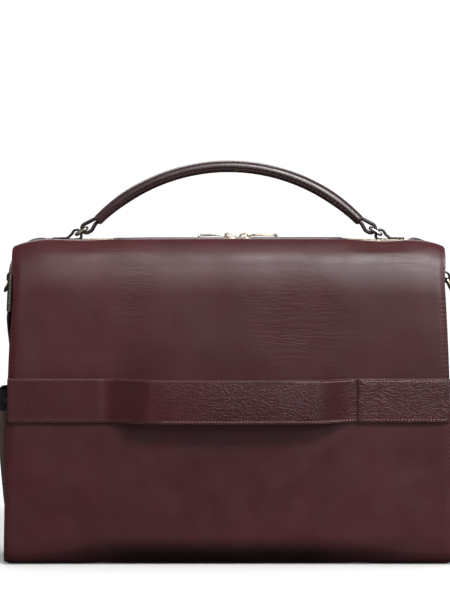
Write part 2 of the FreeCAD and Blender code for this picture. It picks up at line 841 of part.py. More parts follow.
def bottle_pocket():
    """A wedge-shaped pocket on the left side, with an elastic collar round its mouth."""
    gap = d.side_inset - d.play

    def wedge(low, high, bulge_low, bulge_high, skin):
        return [
            (-side_x(low, gap) - bulge_low + skin, low),
            (-side_x(low, gap) - skin * 8, low),
            (-side_x(high, gap) - skin * 8, high),
            (-side_x(high, gap) - bulge_high + skin, high),
        ]

    wide = d.bottle_half_wide
    thin = 1.8
    pocket = slab(
        "bottle_body",
        "XZ",
        [
            (-side_x(d.bottle_foot, gap) - d.bottle_bulge_foot, d.bottle_foot, 1),
            (-side_x(d.bottle_foot, gap), d.bottle_foot),
            (-side_x(d.bottle_rim, gap), d.bottle_rim),
            (-side_x(d.bottle_rim, gap) - d.bottle_bulge, d.bottle_rim),
        ],
        -wide,
        wide,
    )
    inside_foot, over = d.bottle_foot + thin, d.bottle_rim + 5
    cut(
        pocket,
        "XZ",
        [
            (-side_x(inside_foot, gap) - d.bottle_bulge_foot + thin, inside_foot),
            (-side_x(inside_foot, gap) + 5, inside_foot),
            (-side_x(over, gap) + 5, over),
            (-side_x(over, gap) - d.bottle_bulge + thin, over),
        ],
        -wide + thin,
        wide - thin,
    )
    keep("bottle_pocket", pocket)
    low, high = d.bottle_rim + d.play, d.collar_rim
    bulge_high = d.bottle_bulge - 1.5
    collar = slab(
        "collar_body",
        "XZ",
        [
            (-side_x(low, gap) - d.bottle_bulge, low),
            (-side_x(low, gap), low),
            (-side_x(high, gap), high),
            (-side_x(high, gap) - bulge_high, high),
        ],
        -wide,
        wide,
    )
    cut(
        collar,
        "XZ",
        [
            (-side_x(low, gap) - d.bottle_bulge + thin, low - 5),
            (-side_x(low, gap) + 5, low - 5),
            (-side_x(high, gap) + 5, high + 5),
            (-side_x(high, gap) - bulge_high + thin, high + 5),
        ],
        -wide + thin,
        wide - thin,
    )
    keep("bottle_pocket_collar", collar)
    middle = (low + high) / 2
    stud_x = -side_x(middle, gap) - 5
    snap = slab(
        "snap_body",
        "XZ",
        rectangle(stud_x - 3, stud_x + 3, middle - 3, middle + 3, 2.9),
        -wide - 1.6,
        -wide - 0.1,
    )
    keep("bottle_pocket_snap", snap)


def front_pocket():
    """A gusseted pocket on the front with a zip along its mouth."""
    face = d.half_depth + d.play
    crown = face + d.front_bulge
    thin = d.leather
    outer = rectangle(-d.front_half, d.front_half, d.front_foot, d.front_rim)
    body = slab("front_pocket_body", "XZ", outer, face, crown)
    soften(
        body,
        Size.of(6),
        lambda edge: abs(edge.CenterOfMass.z - d.front_foot.number) < 1e-6
        and edge.BoundBox.YLength > 1,
    )
    inner = rectangle(-d.front_half + thin, d.front_half - thin, d.front_foot + thin, d.front_rim + 5)
    cut(body, "XZ", inner, face - 5, crown - thin)
    keep("front_pocket", body)
    middle = face + (d.front_bulge - thin) / 2
    low = d.front_rim - 2.2
    chain = d.teeth_half - 0.6
    reach = d.front_half - thin - d.play
    back, front = face + 0.1, crown - thin - 0.1
    tapes = [
        slab(f"mouth_tape_{i}", "XY", rectangle(-reach, reach, *pair), low, low + d.tape_thickness)
        for i, pair in enumerate(((back, middle - chain - 0.2), (middle + chain + 0.2, front)))
    ]
    group("front_pocket_tapes", tapes)
    chain_x = reach - 8
    row = slab(
        "mouth_teeth",
        "XY",
        rectangle(-chain_x, chain_x, middle - chain, middle + chain),
        low - 0.2,
        low + 1.6,
    )
    keep("front_pocket_teeth", row)
    start = chain_x - 12
    pin = slider("front_pocket_slider", start, middle, low + 1.8, -1)
    puller("front_pocket_puller", *pin, middle, -1)


# ---------------------------------------------------------------- inside


def inside():
    base = d.leather + d.play / 3
    board_x = side_x(base + d.board, d.side_inset + d.leather + 2)
    keep(
        "base_board",
        slab("board_body", "XY", rectangle(-board_x, board_x, -37, 37, 6), base, base + d.board),
    )
    floor = base + d.board + d.play
    head = d.body_height - d.roll_radius - 1
    for word, face in FACES:
        leather = d.half_depth - d.leather
        layers = (("padding", leather - 0.1, d.padding), ("lining", leather - d.padding - 0.2, d.lining))
        for layer, outer, thick in layers:
            edges = sorted((face * outer, face * (outer - thick)), key=lambda s: s.number)
            sheet_outline = [
                (-side_x(floor, Size.of(9)), d.heel_radius + 2),
                (side_x(floor, Size.of(9)), d.heel_radius + 2),
                (side_x(head, Size.of(7)), head),
                (-side_x(head, Size.of(7)), head),
            ]
            keep(f"{word}_{layer}", slab(f"{word}_{layer}_body", "XZ", sheet_outline, *edges))
    wall_x, wall_top = d.top_half - 12, d.body_height - 12
    keep(
        "centre_divider",
        slab("divider_body", "XZ", rectangle(-wall_x, wall_x, floor, wall_top, 20), -1.6, 1.6),
    )
    sleeve_x, sleeve_top = 168, 242
    sleeve = slab("sleeve_body", "XZ", rectangle(-sleeve_x, sleeve_x, floor + 4, sleeve_top), -31, -2)
    cut(
        sleeve,
        "XZ",
        rectangle(-sleeve_x + 4, sleeve_x - 4, floor + 12, sleeve_top + 5),
        -27.5,
        -5,
    )
    keep("laptop_sleeve", sleeve)
    keep("laptop_tab", slab("laptop_tab_body", "XZ", rectangle(-14, 14, 246, 276, 5), -4.0, -1.9))
    organiser = slab("organiser_body", "XZ", rectangle(-140, 140, floor + 30, 190), 33, 44.6)
    cut(organiser, "XZ", rectangle(-138.6, 138.6, floor + 31.4, 195), 34.4, 45)
    keep("organiser_pocket", organiser)
    loops = [
        slab(
            f"pen_loop_{i}",
            "XY",
            rectangle(x - 8, x + 8, 22, 32.7, 3),
            150,
            178,
            holes=[rectangle(x - 6.8, x + 6.8, 23.2, 31.5, 2.4)],
        )
        for i, x in enumerate((40, 62, 84))
    ]
    group("pen_loops", loops)


# ---------------------------------------------------------------- build and write


def check_and_write():
    doc.recompute()
    for thing in doc.Objects:
        if "Invalid" in thing.State or "Error" in thing.State:
            raise RuntimeError(f"{thing.Name} failed: {thing.State}")
    os.makedirs("parts", exist_ok=True)
    for name, thing in nodes.items():
        shape = thing.Shape
        if shape.isNull() or not shape.isValid() or not shape.Solids:
            raise RuntimeError(f"{name} has no valid solid")
        shape.exportStep(f"parts/{name}.step")
    print(len(nodes), "nodes written")


shell()
zips()
handle()
trolley_strap()
group("d_ring_rivets", [side_ring(hand, side) for hand, side in SIDES])
bottle_pocket()
front_pocket()
inside()
check_and_write()
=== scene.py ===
"""The look of a soft leather briefcase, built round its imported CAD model.

Metres, in the model's own frame: +Z is up, the back with the trolley strap faces -Y, and the bottle pocket
is on -X. Sheets of leather are lofted between a few curves, and straps, rings and zips are swept along paths.
"""

import math

import bmesh
import bpy
import numpy as np
from mathutils import Matrix, Vector


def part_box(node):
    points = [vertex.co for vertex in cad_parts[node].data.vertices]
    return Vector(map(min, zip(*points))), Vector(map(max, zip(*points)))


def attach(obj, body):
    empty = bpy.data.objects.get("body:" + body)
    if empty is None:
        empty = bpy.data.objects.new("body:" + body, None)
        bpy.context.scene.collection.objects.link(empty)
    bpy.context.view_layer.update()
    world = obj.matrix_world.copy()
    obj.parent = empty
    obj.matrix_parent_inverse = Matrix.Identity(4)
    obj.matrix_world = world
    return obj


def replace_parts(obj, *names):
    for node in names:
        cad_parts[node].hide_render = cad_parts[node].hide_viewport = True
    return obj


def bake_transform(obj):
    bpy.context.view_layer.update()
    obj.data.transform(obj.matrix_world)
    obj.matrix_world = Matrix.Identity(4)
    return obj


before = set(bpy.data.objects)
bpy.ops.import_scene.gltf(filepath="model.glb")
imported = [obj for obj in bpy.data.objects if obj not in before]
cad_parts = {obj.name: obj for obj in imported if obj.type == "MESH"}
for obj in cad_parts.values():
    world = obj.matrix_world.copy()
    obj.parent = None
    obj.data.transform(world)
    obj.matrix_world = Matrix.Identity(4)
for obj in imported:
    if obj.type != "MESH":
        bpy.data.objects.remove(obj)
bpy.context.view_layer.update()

# ---------------------------------------------------------------- sizes, from the frame

MM = 0.001
BASE_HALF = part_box("front_panel")[1].x
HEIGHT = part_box("front_panel")[1].z
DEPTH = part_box("front_panel")[1].y
PANEL_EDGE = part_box("front_panel")[0].y  # where a panel ends at its zip
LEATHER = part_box("base_panel")[1].z
GUSSET_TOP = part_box("top_gusset")[1].z
GUSSET_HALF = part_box("top_gusset")[1].y
GUSSET_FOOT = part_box("top_gusset")[0].z
TEETH_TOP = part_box("front_zip_teeth")[1].z
ZIP_LINE = (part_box("front_zip_teeth")[0].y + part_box("front_zip_teeth")[1].y) / 2
ZIP_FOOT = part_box("front_zip_tapes")[0].z
TAPE_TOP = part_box("front_zip_tapes")[1].z
LEAN = 10.5 / 296  # how far each side leans in for each unit of height
SWELL = 1.5 * MM  # how far each side bows out at half its height
SIDE_INSET = 2 * MM
ROLL_DROP = 50 * MM  # height of the rounded shoulder where a panel rolls over the top
HEEL = 12 * MM
ARCH = 32 * MM  # radius where the zips turn down
TAPE_REACH = 4.2 * MM  # from the zip line to the leather's edge
TOOTH_PITCH = 1.22 * MM
GATHER_PITCH = 3.9 * MM  # between the puckers of a panel's sewn edge
THREAD_WIDE, THREAD_HIGH = 0.75 * MM, 0.34 * MM
FOAM_MARGIN, LINING_MARGIN = 9 * MM, 7 * MM  # how far inside a panel's side edges they stop
SIDES = (("left", -1), ("right", 1))
FACES = (("rear", -1), ("front", 1))
ZIP_TURN = {-1: 45, 1: 14}  # degrees by which the zips of each side turn, near the shoulder rings
TURN_FOOT, TURN_IN = 0.165, 0.07  # where the turn starts, and over what height it grows
TURN_TOP, TURN_OUT = 0.302, 0.045  # where it ends, and over what height it dies away
TURN_SWELL = 6.0 * MM  # how far a side bulges for each radian of turn
MIDDLE = 0.12  # height at which the face stands out furthest
SHOULDER = 0.21  # height from which the corners of a panel fall away


def side_half(z, inset=0.0):
    """Half the width at a height: the sides lean in and swell a little."""
    return BASE_HALF - LEAN * z + SWELL * np.sin(np.pi * np.clip(z / HEIGHT, 0, 1)) - inset


def smooth(t):
    """0 below 0, 1 above 1 and an even S between."""
    t = np.clip(t, 0, 1)
    return t * t * (3 - 2 * t)


def zip_turn(z, side):
    """The angle by which a side's zips turn to face the nearer panel, near the shoulder rings."""
    most = math.radians(ZIP_TURN[side])
    return most * smooth((z - TURN_FOOT) / TURN_IN) * smooth((TURN_TOP - z) / TURN_OUT)


def swell(z, side, offset=0.0):
    """How far a side bulges where its zips turn. offset is from the zip line, positive towards the gusset."""
    return TURN_SWELL * zip_turn(z, side) + offset * np.sin(zip_turn(z, side))


def side_wall(z, side):
    """How far out the middle of a gusset lies: it stays back where its edges swell."""
    return side_half(z, SIDE_INSET) + 0.1 * swell(z, side, TAPE_REACH) + 1.4 * MM


def unit(v):
    """A vector, or each row of an array, at length one."""
    return v / np.linalg.norm(v, axis=-1, keepdims=True)


# ---------------------------------------------------------------- materials


class Nodes:
    """Builds a material's node tree; every texture reads the piece's own place in metres."""

    def __init__(self, name):
        self.material = bpy.data.materials.new(name)
        self.material.use_nodes = True
        self.tree = self.material.node_tree
        self.shader = self.tree.nodes["Principled BSDF"]
        self.place = self.add("ShaderNodeTexCoord").outputs["Object"]

    def add(self, kind, inputs=None, **settings):
        node = self.tree.nodes.new(kind)
        for key, value in settings.items():
            setattr(node, key, value)
        for key, value in (inputs or {}).items():
            self.feed(node.inputs[key], value)
        return node

    def feed(self, socket, value):
        """Links an input or sets it; a plain colour is made opaque."""
        if isinstance(value, bpy.types.NodeSocket):
            self.tree.links.new(value, socket)
        else:
            socket.default_value = (*value, 1) if socket.type == "RGBA" else value

    def math(self, operation, a, b=0.0, c=0.0):
        node = self.add("ShaderNodeMath", operation=operation)
        for socket, value in zip(node.inputs, (a, b, c)):
            self.feed(socket, value)
        return node.outputs[0]

    def scaled(self, x, y, z):
        return self.add("ShaderNodeMapping", {"Vector": self.place, "Scale": (x, y, z)}).outputs[0]

    def noise(self, scale, detail=3.0, rough=0.5, warp=0.0, vector=None):
        inputs = {"Vector": vector or self.place, "Scale": scale, "Detail": detail}
        inputs |= {"Roughness": rough, "Distortion": warp}
        return self.add("ShaderNodeTexNoise", inputs).outputs["Fac"]

    def cells(self, scale):
        inputs = {"Vector": self.place, "Scale": scale}
        return self.add("ShaderNodeTexVoronoi", inputs, feature="F1").outputs["Distance"]

    def ramp(self, value, low, high, to_low=0.0, to_high=1.0):
        inputs = {"Value": value, "From Min": low, "From Max": high, "To Min": to_low, "To Max": to_high}
        return self.add("ShaderNodeMapRange", inputs).outputs["Result"]

    def mix(self, factor, a, b):
        node = self.add("ShaderNodeMix", data_type="RGBA")
        colours = [s for s in node.inputs if s.type == "RGBA"]
        self.feed(node.inputs["Factor"], factor)
        for socket, value in zip(colours, (a, b)):
            self.feed(socket, value)
        return next(s for s in node.outputs if s.type == "RGBA")

    def finish(self, colour, roughness, heights=(), **shader):
        """heights are (height, distance) pairs, the coarsest first."""
        self.feed(self.shader.inputs["Base Color"], colour)
        self.feed(self.shader.inputs["Roughness"], roughness)
        normal = None
        for height, distance in heights:
            inputs = {"Height": height, "Distance": distance, "Strength": 1.0}
            if normal:
                inputs["Normal"] = normal
            normal = self.add("ShaderNodeBump", inputs).outputs["Normal"]
        if normal:
            self.feed(self.shader.inputs["Normal"], normal)
        for key, value in shader.items():
            self.shader.inputs[key.replace("_", " ")].default_value = value
        return self.material


def times(colour, by):
    """A lighter or darker colour."""
    return [min(1, c * by) for c in colour]


CELLS, PORES = 1300, 2600  # of the hide's grain, for each metre


def leather(
    name, colour, grain=1.0, creases=1.0, gloss=0.38, shine=0.36,
    breaks=(), fine=230, long=0.15, depth=1.0, foot=0.0,
):
    """Dyed cowhide: fine cells, soft creases and a thin finish.

    grain scales the relief of the cells, creases the stray creases, and depth all of them. gloss is the
    roughness and shine how strongly the hide reflects. fine is the scale of the creases, and the smaller
    long is, the longer they run along X. breaks are (x, z, half width, half height) of creased places on
    the back, and foot is how strongly the colour is darkened where the hide turns under the bag: painted
    shade.
    """
    n = Nodes(name)
    cells = n.cells(CELLS)
    pores = n.noise(PORES, 2)
    folds = n.noise(fine, 3, 0.5, 0.3, n.scaled(long, 1, 1))
    slant = n.add("ShaderNodeMapping", {"Vector": n.place, "Rotation": (0, 0.6, 0), "Scale": (0.45, 1, 1.1)})
    cross = n.noise(fine * 0.9, 2, 0.5, 0.4, slant.outputs[0])
    # creases: faint in drifting patches, strong in each of the breaks
    drift = n.ramp(n.noise(9, 2), 0.50, 0.66)
    strength = n.math("MULTIPLY", drift, 0.22 * creases)
    for x, z, wide, tall in breaks:
        shifted = n.add("ShaderNodeVectorMath", {0: n.place, 1: (x, 0, z)}, operation="SUBTRACT")
        by_size = {0: shifted.outputs[0], 1: (1 / wide, 0, 1 / tall)}
        shaped = n.add("ShaderNodeVectorMath", by_size, operation="MULTIPLY")
        away = n.add("ShaderNodeVectorMath", {0: shaped.outputs[0]}, operation="LENGTH")
        strength = n.math("MAXIMUM", strength, n.ramp(away.outputs["Value"], 0.3, 1.0, 0.75, 0.0))
    turned = n.ramp(n.noise(24, 1), 0.52, 0.66)
    folds = n.math("MULTIPLY_ADD", turned, n.math("SUBTRACT", cross, folds), folds)
    lines = n.math("ABSOLUTE", n.math("SUBTRACT", folds, 0.5))
    crease = n.math("MULTIPLY", n.ramp(lines, 0.0, 0.11, 1.0, 0.0), strength)
    tone = n.mix(n.ramp(n.noise(13, 4, 0.6), 0.3, 0.7), times(colour, 0.78), times(colour, 1.14))
    # the creases are also darkened in the colour: painted shade in their hollows, on top of their bump
    tone = n.mix(n.math("MULTIPLY", crease, min(0.9, 0.3 * depth)), tone, times(colour, 0.4))
    tone = n.mix(n.ramp(cells, 0.0, 0.5, 0.22, 0.0), tone, times(colour, 0.3))
    rough = n.ramp(n.noise(55, 3), 0.3, 0.7, gloss - 0.04, gloss + 0.05)
    # painted shade: below 26 mm the colour darkens, most at 10 mm and lower, towards a tenth of itself where
    # the hide turns under the bag; it is strongest across the middle of the width and a quarter as strong at
    # the sides
    if foot:
        split = n.add("ShaderNodeSeparateXYZ", {0: n.place}).outputs
        low = n.ramp(split["Z"], 0.010, 0.026, foot, 0.0)
        middle = n.ramp(n.math("ABSOLUTE", split["X"]), 0.08, 0.18, 1.0, 0.25)
        tone = n.mix(n.math("MULTIPLY", low, middle), tone, times(colour, 0.1))
    heights = (
        (n.noise(9, 2), 0.0020),
        (n.math("MULTIPLY", crease, -1.0), 0.00012 * depth),
        (cells, 0.00008 * grain),
        (pores, 0.00002 * grain),
    )
    return n.finish(tone, rough, heights, Specular_IOR_Level=shine, Coat_Weight=0.04, Coat_Roughness=0.2)


def metal(name, colour, rough, scratches=0.00002):
    """Plated metal with a slightly uneven shine."""
    n = Nodes(name)
    tone = n.mix(n.noise(90, 3), times(colour, 0.88), colour)
    finish = n.ramp(n.noise(240, 4), 0.3, 0.7, rough - 0.05, rough + 0.08)
    return n.finish(tone, finish, ((n.noise(700, 3), scratches),), Metallic=1.0)


def woven(name, colour, pitch, axes=(1, 1, 1), sheen=0.25):
    """Cloth or webbing: two crossing sets of ribs. axes are the shares of X, Y and Z in their slant."""
    n = Nodes(name)
    turns = 2 * math.pi / pitch
    split = n.add("ShaderNodeSeparateXYZ", {"Vector": n.place}).outputs
    lean = n.math("ADD", n.math("MULTIPLY", split["X"], axes[0]), n.math("MULTIPLY", split["Z"], axes[2]))
    warp = n.math("SINE", n.math("MULTIPLY", lean, turns))
    cross = n.math("SUBTRACT", n.math("MULTIPLY", split["Y"], axes[1]), split["Z"])
    weft = n.math("SINE", n.math("MULTIPLY", cross, turns))
    weave = n.math("MULTIPLY", warp, weft)
    fuzz = n.noise(600, 4)
    tone = n.mix(n.ramp(weave, -1, 1), times(colour, 0.55), times(colour, 1.25))
    heights = ((weave, 0.00012), (fuzz, 0.00008))
    return n.finish(tone, 0.85, heights, Sheen_Weight=sheen, Sheen_Roughness=0.5)


def plain_stock(name, colour, rough, scale=300, height=0.00003):
    """Board, cord or thread: a matt surface with a fine tooth."""
    n = Nodes(name)
    tone = n.mix(n.noise(scale, 4), times(colour, 0.75), times(colour, 1.15))
    return n.finish(tone, rough, ((n.noise(scale * 3, 3), height),))


OXBLOOD = (0.041, 0.0078, 0.0092)
BREAKS = (  # where the hide has been bent: centre and half extent
    (-0.086, 0.243, 0.024, 0.055),
    (-0.105, 0.284, 0.022, 0.012),
    (0.060, 0.222, 0.066, 0.062),
    (0.155, 0.278, 0.030, 0.010),
)
STRAP_BREAKS = ((0.045, 0.150, 0.150, 0.20), (0.160, 0.150, 0.12, 0.20))
STRAP_WEAR = dict(gloss=0.36, breaks=STRAP_BREAKS, fine=330, long=0.5, depth=2.5)
# the panels' hide takes painted shade at its foot, where it turns under the bag
HIDE = leather("oxblood_leather", OXBLOOD, grain=0.5, creases=0.25, gloss=0.39, breaks=BREAKS, foot=0.95)
STRAP_HIDE = leather("strap_leather", (0.040, 0.0082, 0.0098), grain=1.6, shine=0.26, **STRAP_WEAR)
PATCH_HIDE = leather("patch_leather", (0.044, 0.0092, 0.0108), grain=1.2, shine=0.30, **STRAP_WEAR)
GRIP_HIDE = leather("grip_leather", (0.024, 0.0085, 0.0095), grain=0.3, creases=0.5, gloss=0.34, shine=0.85)
GUSSET_TONE = (0.020, 0.0070, 0.0080)
GUSSET_HIDE = leather("gusset_leather", GUSSET_TONE, grain=0.7, creases=1.4, gloss=0.58, shine=0.15)
POCKET_HIDE = leather("pocket_leather", (0.075, 0.046, 0.036), grain=0.8, creases=1.6, gloss=0.48)
EDGE_PAINT = plain_stock("edge_paint", (0.012, 0.0050, 0.0055), 0.42, 160)
STRAP_EDGE = plain_stock("strap_edge_paint", (0.120, 0.062, 0.056), 0.5, 160)
GOLD = metal("pale_gold", (0.86, 0.76, 0.58), 0.20)
# The next two metals stand, on the handle's rings, for one pale gold: the first is lighter, as a painted
# highlight, and the second darker, as painted shade. The zip pullers take them as well.
SILVER_AND_LIT_GOLD = metal("nickel_and_lit_gold", (0.90, 0.88, 0.85), 0.16)
BRONZE_AND_SHADED_GOLD = metal("bronze_and_shaded_gold", (0.46, 0.40, 0.33), 0.30)
TEETH = metal("zip_metal", (0.84, 0.74, 0.58), 0.28)
DARK_METAL = metal("gunmetal", (0.16, 0.15, 0.15), 0.35)
TAPE = woven("zip_tape", (0.014, 0.009, 0.009), 0.8 * MM, sheen=0.04)
ELASTIC = woven("black_elastic", (0.007, 0.006, 0.006), 1.3 * MM, axes=(1, 1, 0), sheen=0.0)
LINING = woven("brown_lining", (0.095, 0.070, 0.060), 0.7 * MM)
FOAM = woven("sleeve_cloth", (0.075, 0.070, 0.070), 1.1 * MM)
BOARD = plain_stock("base_board", (0.030, 0.030, 0.030), 0.7)
ROPE = plain_stock("cotton_cord", (0.50, 0.44, 0.35), 0.9)
THREAD = plain_stock("waxed_thread", (0.045, 0.018, 0.018), 0.55, 900, 0.00005)
PALE_THREAD = plain_stock("worn_thread", (0.17, 0.095, 0.085), 0.6, 900, 0.00005)

# ---------------------------------------------------------------- mesh building


def make(name, points, faces, materials, marks=None, bevel=0.0, body="bag", slot="leather"):
    """A smooth-shaded closed mesh with its materials, riding on a body."""
    mesh = bpy.data.meshes.new(name)
    mesh.from_pydata(np.asarray(points, float).tolist(), [], faces)
    built = bmesh.new()
    built.from_mesh(mesh)
    bmesh.ops.recalc_face_normals(built, faces=built.faces)
    built.to_mesh(mesh)
    built.free()
    for material in materials:
        mesh.materials.append(material)
    mesh.polygons.foreach_set("use_smooth", [True] * len(mesh.polygons))
    if marks is not None:
        mesh.polygons.foreach_set("material_index", marks)
    obj = bpy.data.objects.new(name, mesh)
    bpy.context.scene.collection.objects.link(obj)
    if bevel:
        rounding = obj.modifiers.new("edges", "BEVEL")
        rounding.width = bevel
        rounding.segments = 3
        rounding.limit_method = "ANGLE"
        rounding.angle_limit = math.radians(50)
    if body:
        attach(obj, body)
    return obj


def grid_faces(rows, columns, offset=0):
    """The quads of a grid of points, numbered from offset."""
    cell = np.arange(rows * columns).reshape(rows, columns) + offset
    quads = np.stack([cell[:-1, :-1], cell[:-1, 1:], cell[1:, 1:], cell[1:, :-1]], -1)
    return quads.reshape(-1, 4).tolist()


def normals(grid):
    """The direction at right angles to a grid, at each of its points."""
    return unit(np.cross(np.gradient(grid, axis=0), np.gradient(grid, axis=1)))


def orient(grid, towards):
    """Turns a grid over if its normals don't face a direction."""
    normal = np.cross(np.gradient(grid, axis=0), np.gradient(grid, axis=1))
    return grid if (normal.reshape(-1, 3).mean(0) @ np.asarray(towards, float)) > 0 else grid[:, ::-1]


def closed_sheet(near, far):
    """Points and faces of a solid between two grids of the same shape; its rim comes last."""
    count = near.shape[0] * near.shape[1]
    cell = np.arange(count).reshape(near.shape[:2])
    rim = np.concatenate([cell[0, :], cell[1:, -1], cell[-1, -2::-1], cell[-2:0:-1, 0]])
    edge = [[int(a), int(b), int(b + count), int(a + count)] for a, b in zip(rim, np.roll(rim, -1))]
    faces = grid_faces(*cell.shape) + grid_faces(*cell.shape, count) + edge
    return np.concatenate([near.reshape(-1, 3), far.reshape(-1, 3)]), faces


def skin(name, outer, thickness, materials, bevel=0.45 * MM, **where):
    """A sheet of even thickness behind a grid of points; its rim takes the second material."""
    points, faces = closed_sheet(outer, outer - normals(outer) * thickness)
    rim = 2 * sum(outer.shape[:2]) - 4
    marks = [0] * (len(faces) - rim) + [1] * rim
    return make(name, points, faces, materials, marks, bevel, **where)


def rounded_path(corners, step=2 * MM, turn=8):
    """Straight runs joined by arcs; a corner is (a, b) or (a, b, radius)."""
    points = [np.array(c[:2], float) for c in corners]
    path = [points[0]]
    for before, corner, after, given in zip(points, points[1:], points[2:], corners[1:]):
        if len(given) < 3:
            path.append(corner)
            continue
        into, out = unit(before - corner), unit(after - corner)
        half = math.acos(np.clip(into @ out, -1, 1)) / 2
        reach, bend = given[2] / math.tan(half), math.pi - 2 * half
        centre = corner + unit(into + out) * given[2] / math.sin(half)
        start, end = corner + into * reach - centre, corner + out * reach - centre
        for t in np.linspace(0, 1, max(3, math.ceil(math.degrees(bend) / turn) + 1)):
            swung = start * math.sin((1 - t) * bend) + end * math.sin(t * bend)
            path.append(centre + swung / math.sin(bend))
    path.append(points[-1])
    filled = [path[0]]
    for a, b in zip(path, path[1:]):
        pieces = max(1, round(np.linalg.norm(b - a) / step))
        filled += [a + (b - a) * k / pieces for k in range(1, pieces + 1)]
    return np.array(filled)


def in_xz(path, y=0.0):
    """A flat path, stood up at one depth."""
    return np.stack([path[:, 0], np.full(len(path), y), path[:, 1]], 1)


def evenly(path, pitch, start=0.0, end=0.0):
    """Points at a steady pitch along a path, and the path's direction at each."""
    steps = np.linalg.norm(np.diff(path, axis=0), axis=1)
    along = np.concatenate([[0], np.cumsum(steps)])
    count = max(2, int((along[-1] - start - end) / pitch) + 1)
    at = np.linspace(start, along[-1] - end, count)
    places = np.stack([np.interp(at, along, path[:, k]) for k in range(3)], 1)
    ahead = np.stack([np.interp(at + pitch / 4, along, path[:, k]) for k in range(3)], 1)
    behind = np.stack([np.interp(at - pitch / 4, along, path[:, k]) for k in range(3)], 1)
    return places, unit(ahead - behind)


def flat_section(width, thickness, radius=None, crown=0.0, steps=4, across=6):
    """A strap's section: a rounded rectangle, its outer face crowned."""
    radius = min(radius or thickness * 0.42, thickness / 2 - 1e-5)
    points = []
    corners = ((1, 1, 0), (-1, 1, 90), (-1, -1, 180), (1, -1, 270))
    for sx, sy, turn in corners:
        cx, cy = sx * (width / 2 - radius), sy * (thickness / 2 - radius)
        for k in range(steps + 1):
            a = math.radians(turn + 90 * k / steps)
            points.append((cx + radius * math.cos(a), cy + radius * math.sin(a)))
        if sx * sy == 1:  # the long faces follow the first and third corners
            for k in range(1, across):
                t = 1 - 2 * k / across
                points.append((sx * t * (width / 2 - radius), sy * thickness / 2))
    points = np.array(points)
    top = points[:, 1] > 0
    points[top, 1] += crown * (1 - (points[top, 0] / (width / 2)) ** 2)
    return points


def round_section(radius, count=12, flat=1.0):
    """A wire's section, or an oval if flat is below one."""
    a = np.linspace(0, 2 * np.pi, count, endpoint=False)
    return np.stack([np.cos(a) * radius, np.sin(a) * radius * flat], 1)


def tube(path, across, section, closed=False, widths=None, heights=None, edge=None, last=0):
    """Carries a section along a path: points, faces and marks. Its width lies along across.

    Faces further out than edge take the second material, and the two ends take the last one.
    """
    count = len(path)
    if closed:
        tangent = unit(np.roll(path, -1, 0) - np.roll(path, 1, 0))
    else:
        tangent = unit(np.gradient(path, axis=0))
    across = np.broadcast_to(np.asarray(across, float), path.shape)
    up = unit(np.cross(tangent, across))
    wide = np.ones(count) if widths is None else np.asarray(widths)
    tall = np.ones(count) if heights is None else np.asarray(heights)
    side = (section[None, :, 0] * wide[:, None])[..., None] * across[:, None]
    rise = (section[None, :, 1] * tall[:, None])[..., None] * up[:, None]
    points = (path[:, None] + side + rise).reshape(-1, 3)
    size = len(section)
    faces, marks = [], []
    for i in range(count if closed else count - 1):
        j = (i + 1) % count
        for k in range(size):
            m = (k + 1) % size
            faces.append([i * size + k, i * size + m, j * size + m, j * size + k])
            middle = abs(section[k, 0] + section[m, 0]) / 2
            marks.append(1 if edge and middle > edge else 0)
    if not closed:
        faces += [list(range(size)), [(count - 1) * size + k for k in range(size)]]
        marks += [last] * 2
    return points, faces, marks


def sweep(name, path, across, section, materials, body="bag", slot="leather", **shape):
    """A piece made by carrying a section along a path."""
    points, faces, marks = tube(path, across, section, last=len(materials) - 1, **shape)
    return make(name, points, faces, materials, marks, body=body, slot=slot)


def together(*shapes):
    """Several shapes as one."""
    points, faces = [], []
    for shape in shapes:
        faces += [[v + len(points) for v in face] for face in shape[1]]
        points += np.asarray(shape[0]).tolist()
    return np.array(points), faces


def ring_faces(rings, around):
    """The quads between rings of points, and the points' numbers by ring."""
    cell = np.arange(rings * around).reshape(rings, around)
    after = np.roll(cell, -1, 1)
    return np.stack([cell[:-1], after[:-1], after[1:], cell[1:]], -1).reshape(-1, 4).tolist(), cell


def boss(centre, half_x, half_y, low, high, power, around=32):
    """A low block with a rounded outline, squarer for a higher power, and a slightly domed top."""
    t = np.linspace(0, 2 * np.pi, around, endpoint=False)
    x = np.sign(np.cos(t)) * np.abs(np.cos(t)) ** (2 / power) * half_x
    y = np.sign(np.sin(t)) * np.abs(np.sin(t)) ** (2 / power) * half_y
    levels = (  # height, and the outline's size there
        (low, 0.93), (low + 0.2 * MM, 1), (high - 0.35 * MM, 1), (high - 0.1 * MM, 0.96),
        (high, 0.88), (high + 0.2 * MM, 0.4),
    )
    rings = [np.stack([centre[0] + x * k, centre[1] + y * k, np.full(around, z)], 1) for z, k in levels]
    faces, cell = ring_faces(len(levels), around)
    return np.concatenate(rings), faces + [cell[0].tolist(), cell[-1].tolist()]


def scatter(name, template, faces, places, forward, up, materials, **where):
    """Copies a small shape to many places. Its axes are forward, sideways and up."""
    side = unit(np.cross(up, forward))
    parts = (
        places[:, None]
        + template[None, :, 0:1] * forward[:, None]
        + template[None, :, 1:2] * side[:, None]
        + template[None, :, 2:3] * up[:, None]
    )
    size = len(template)
    every = [[v + i * size for v in face] for i in range(len(places)) for face in faces]
    return make(name, parts.reshape(-1, 3), every, materials, **where)


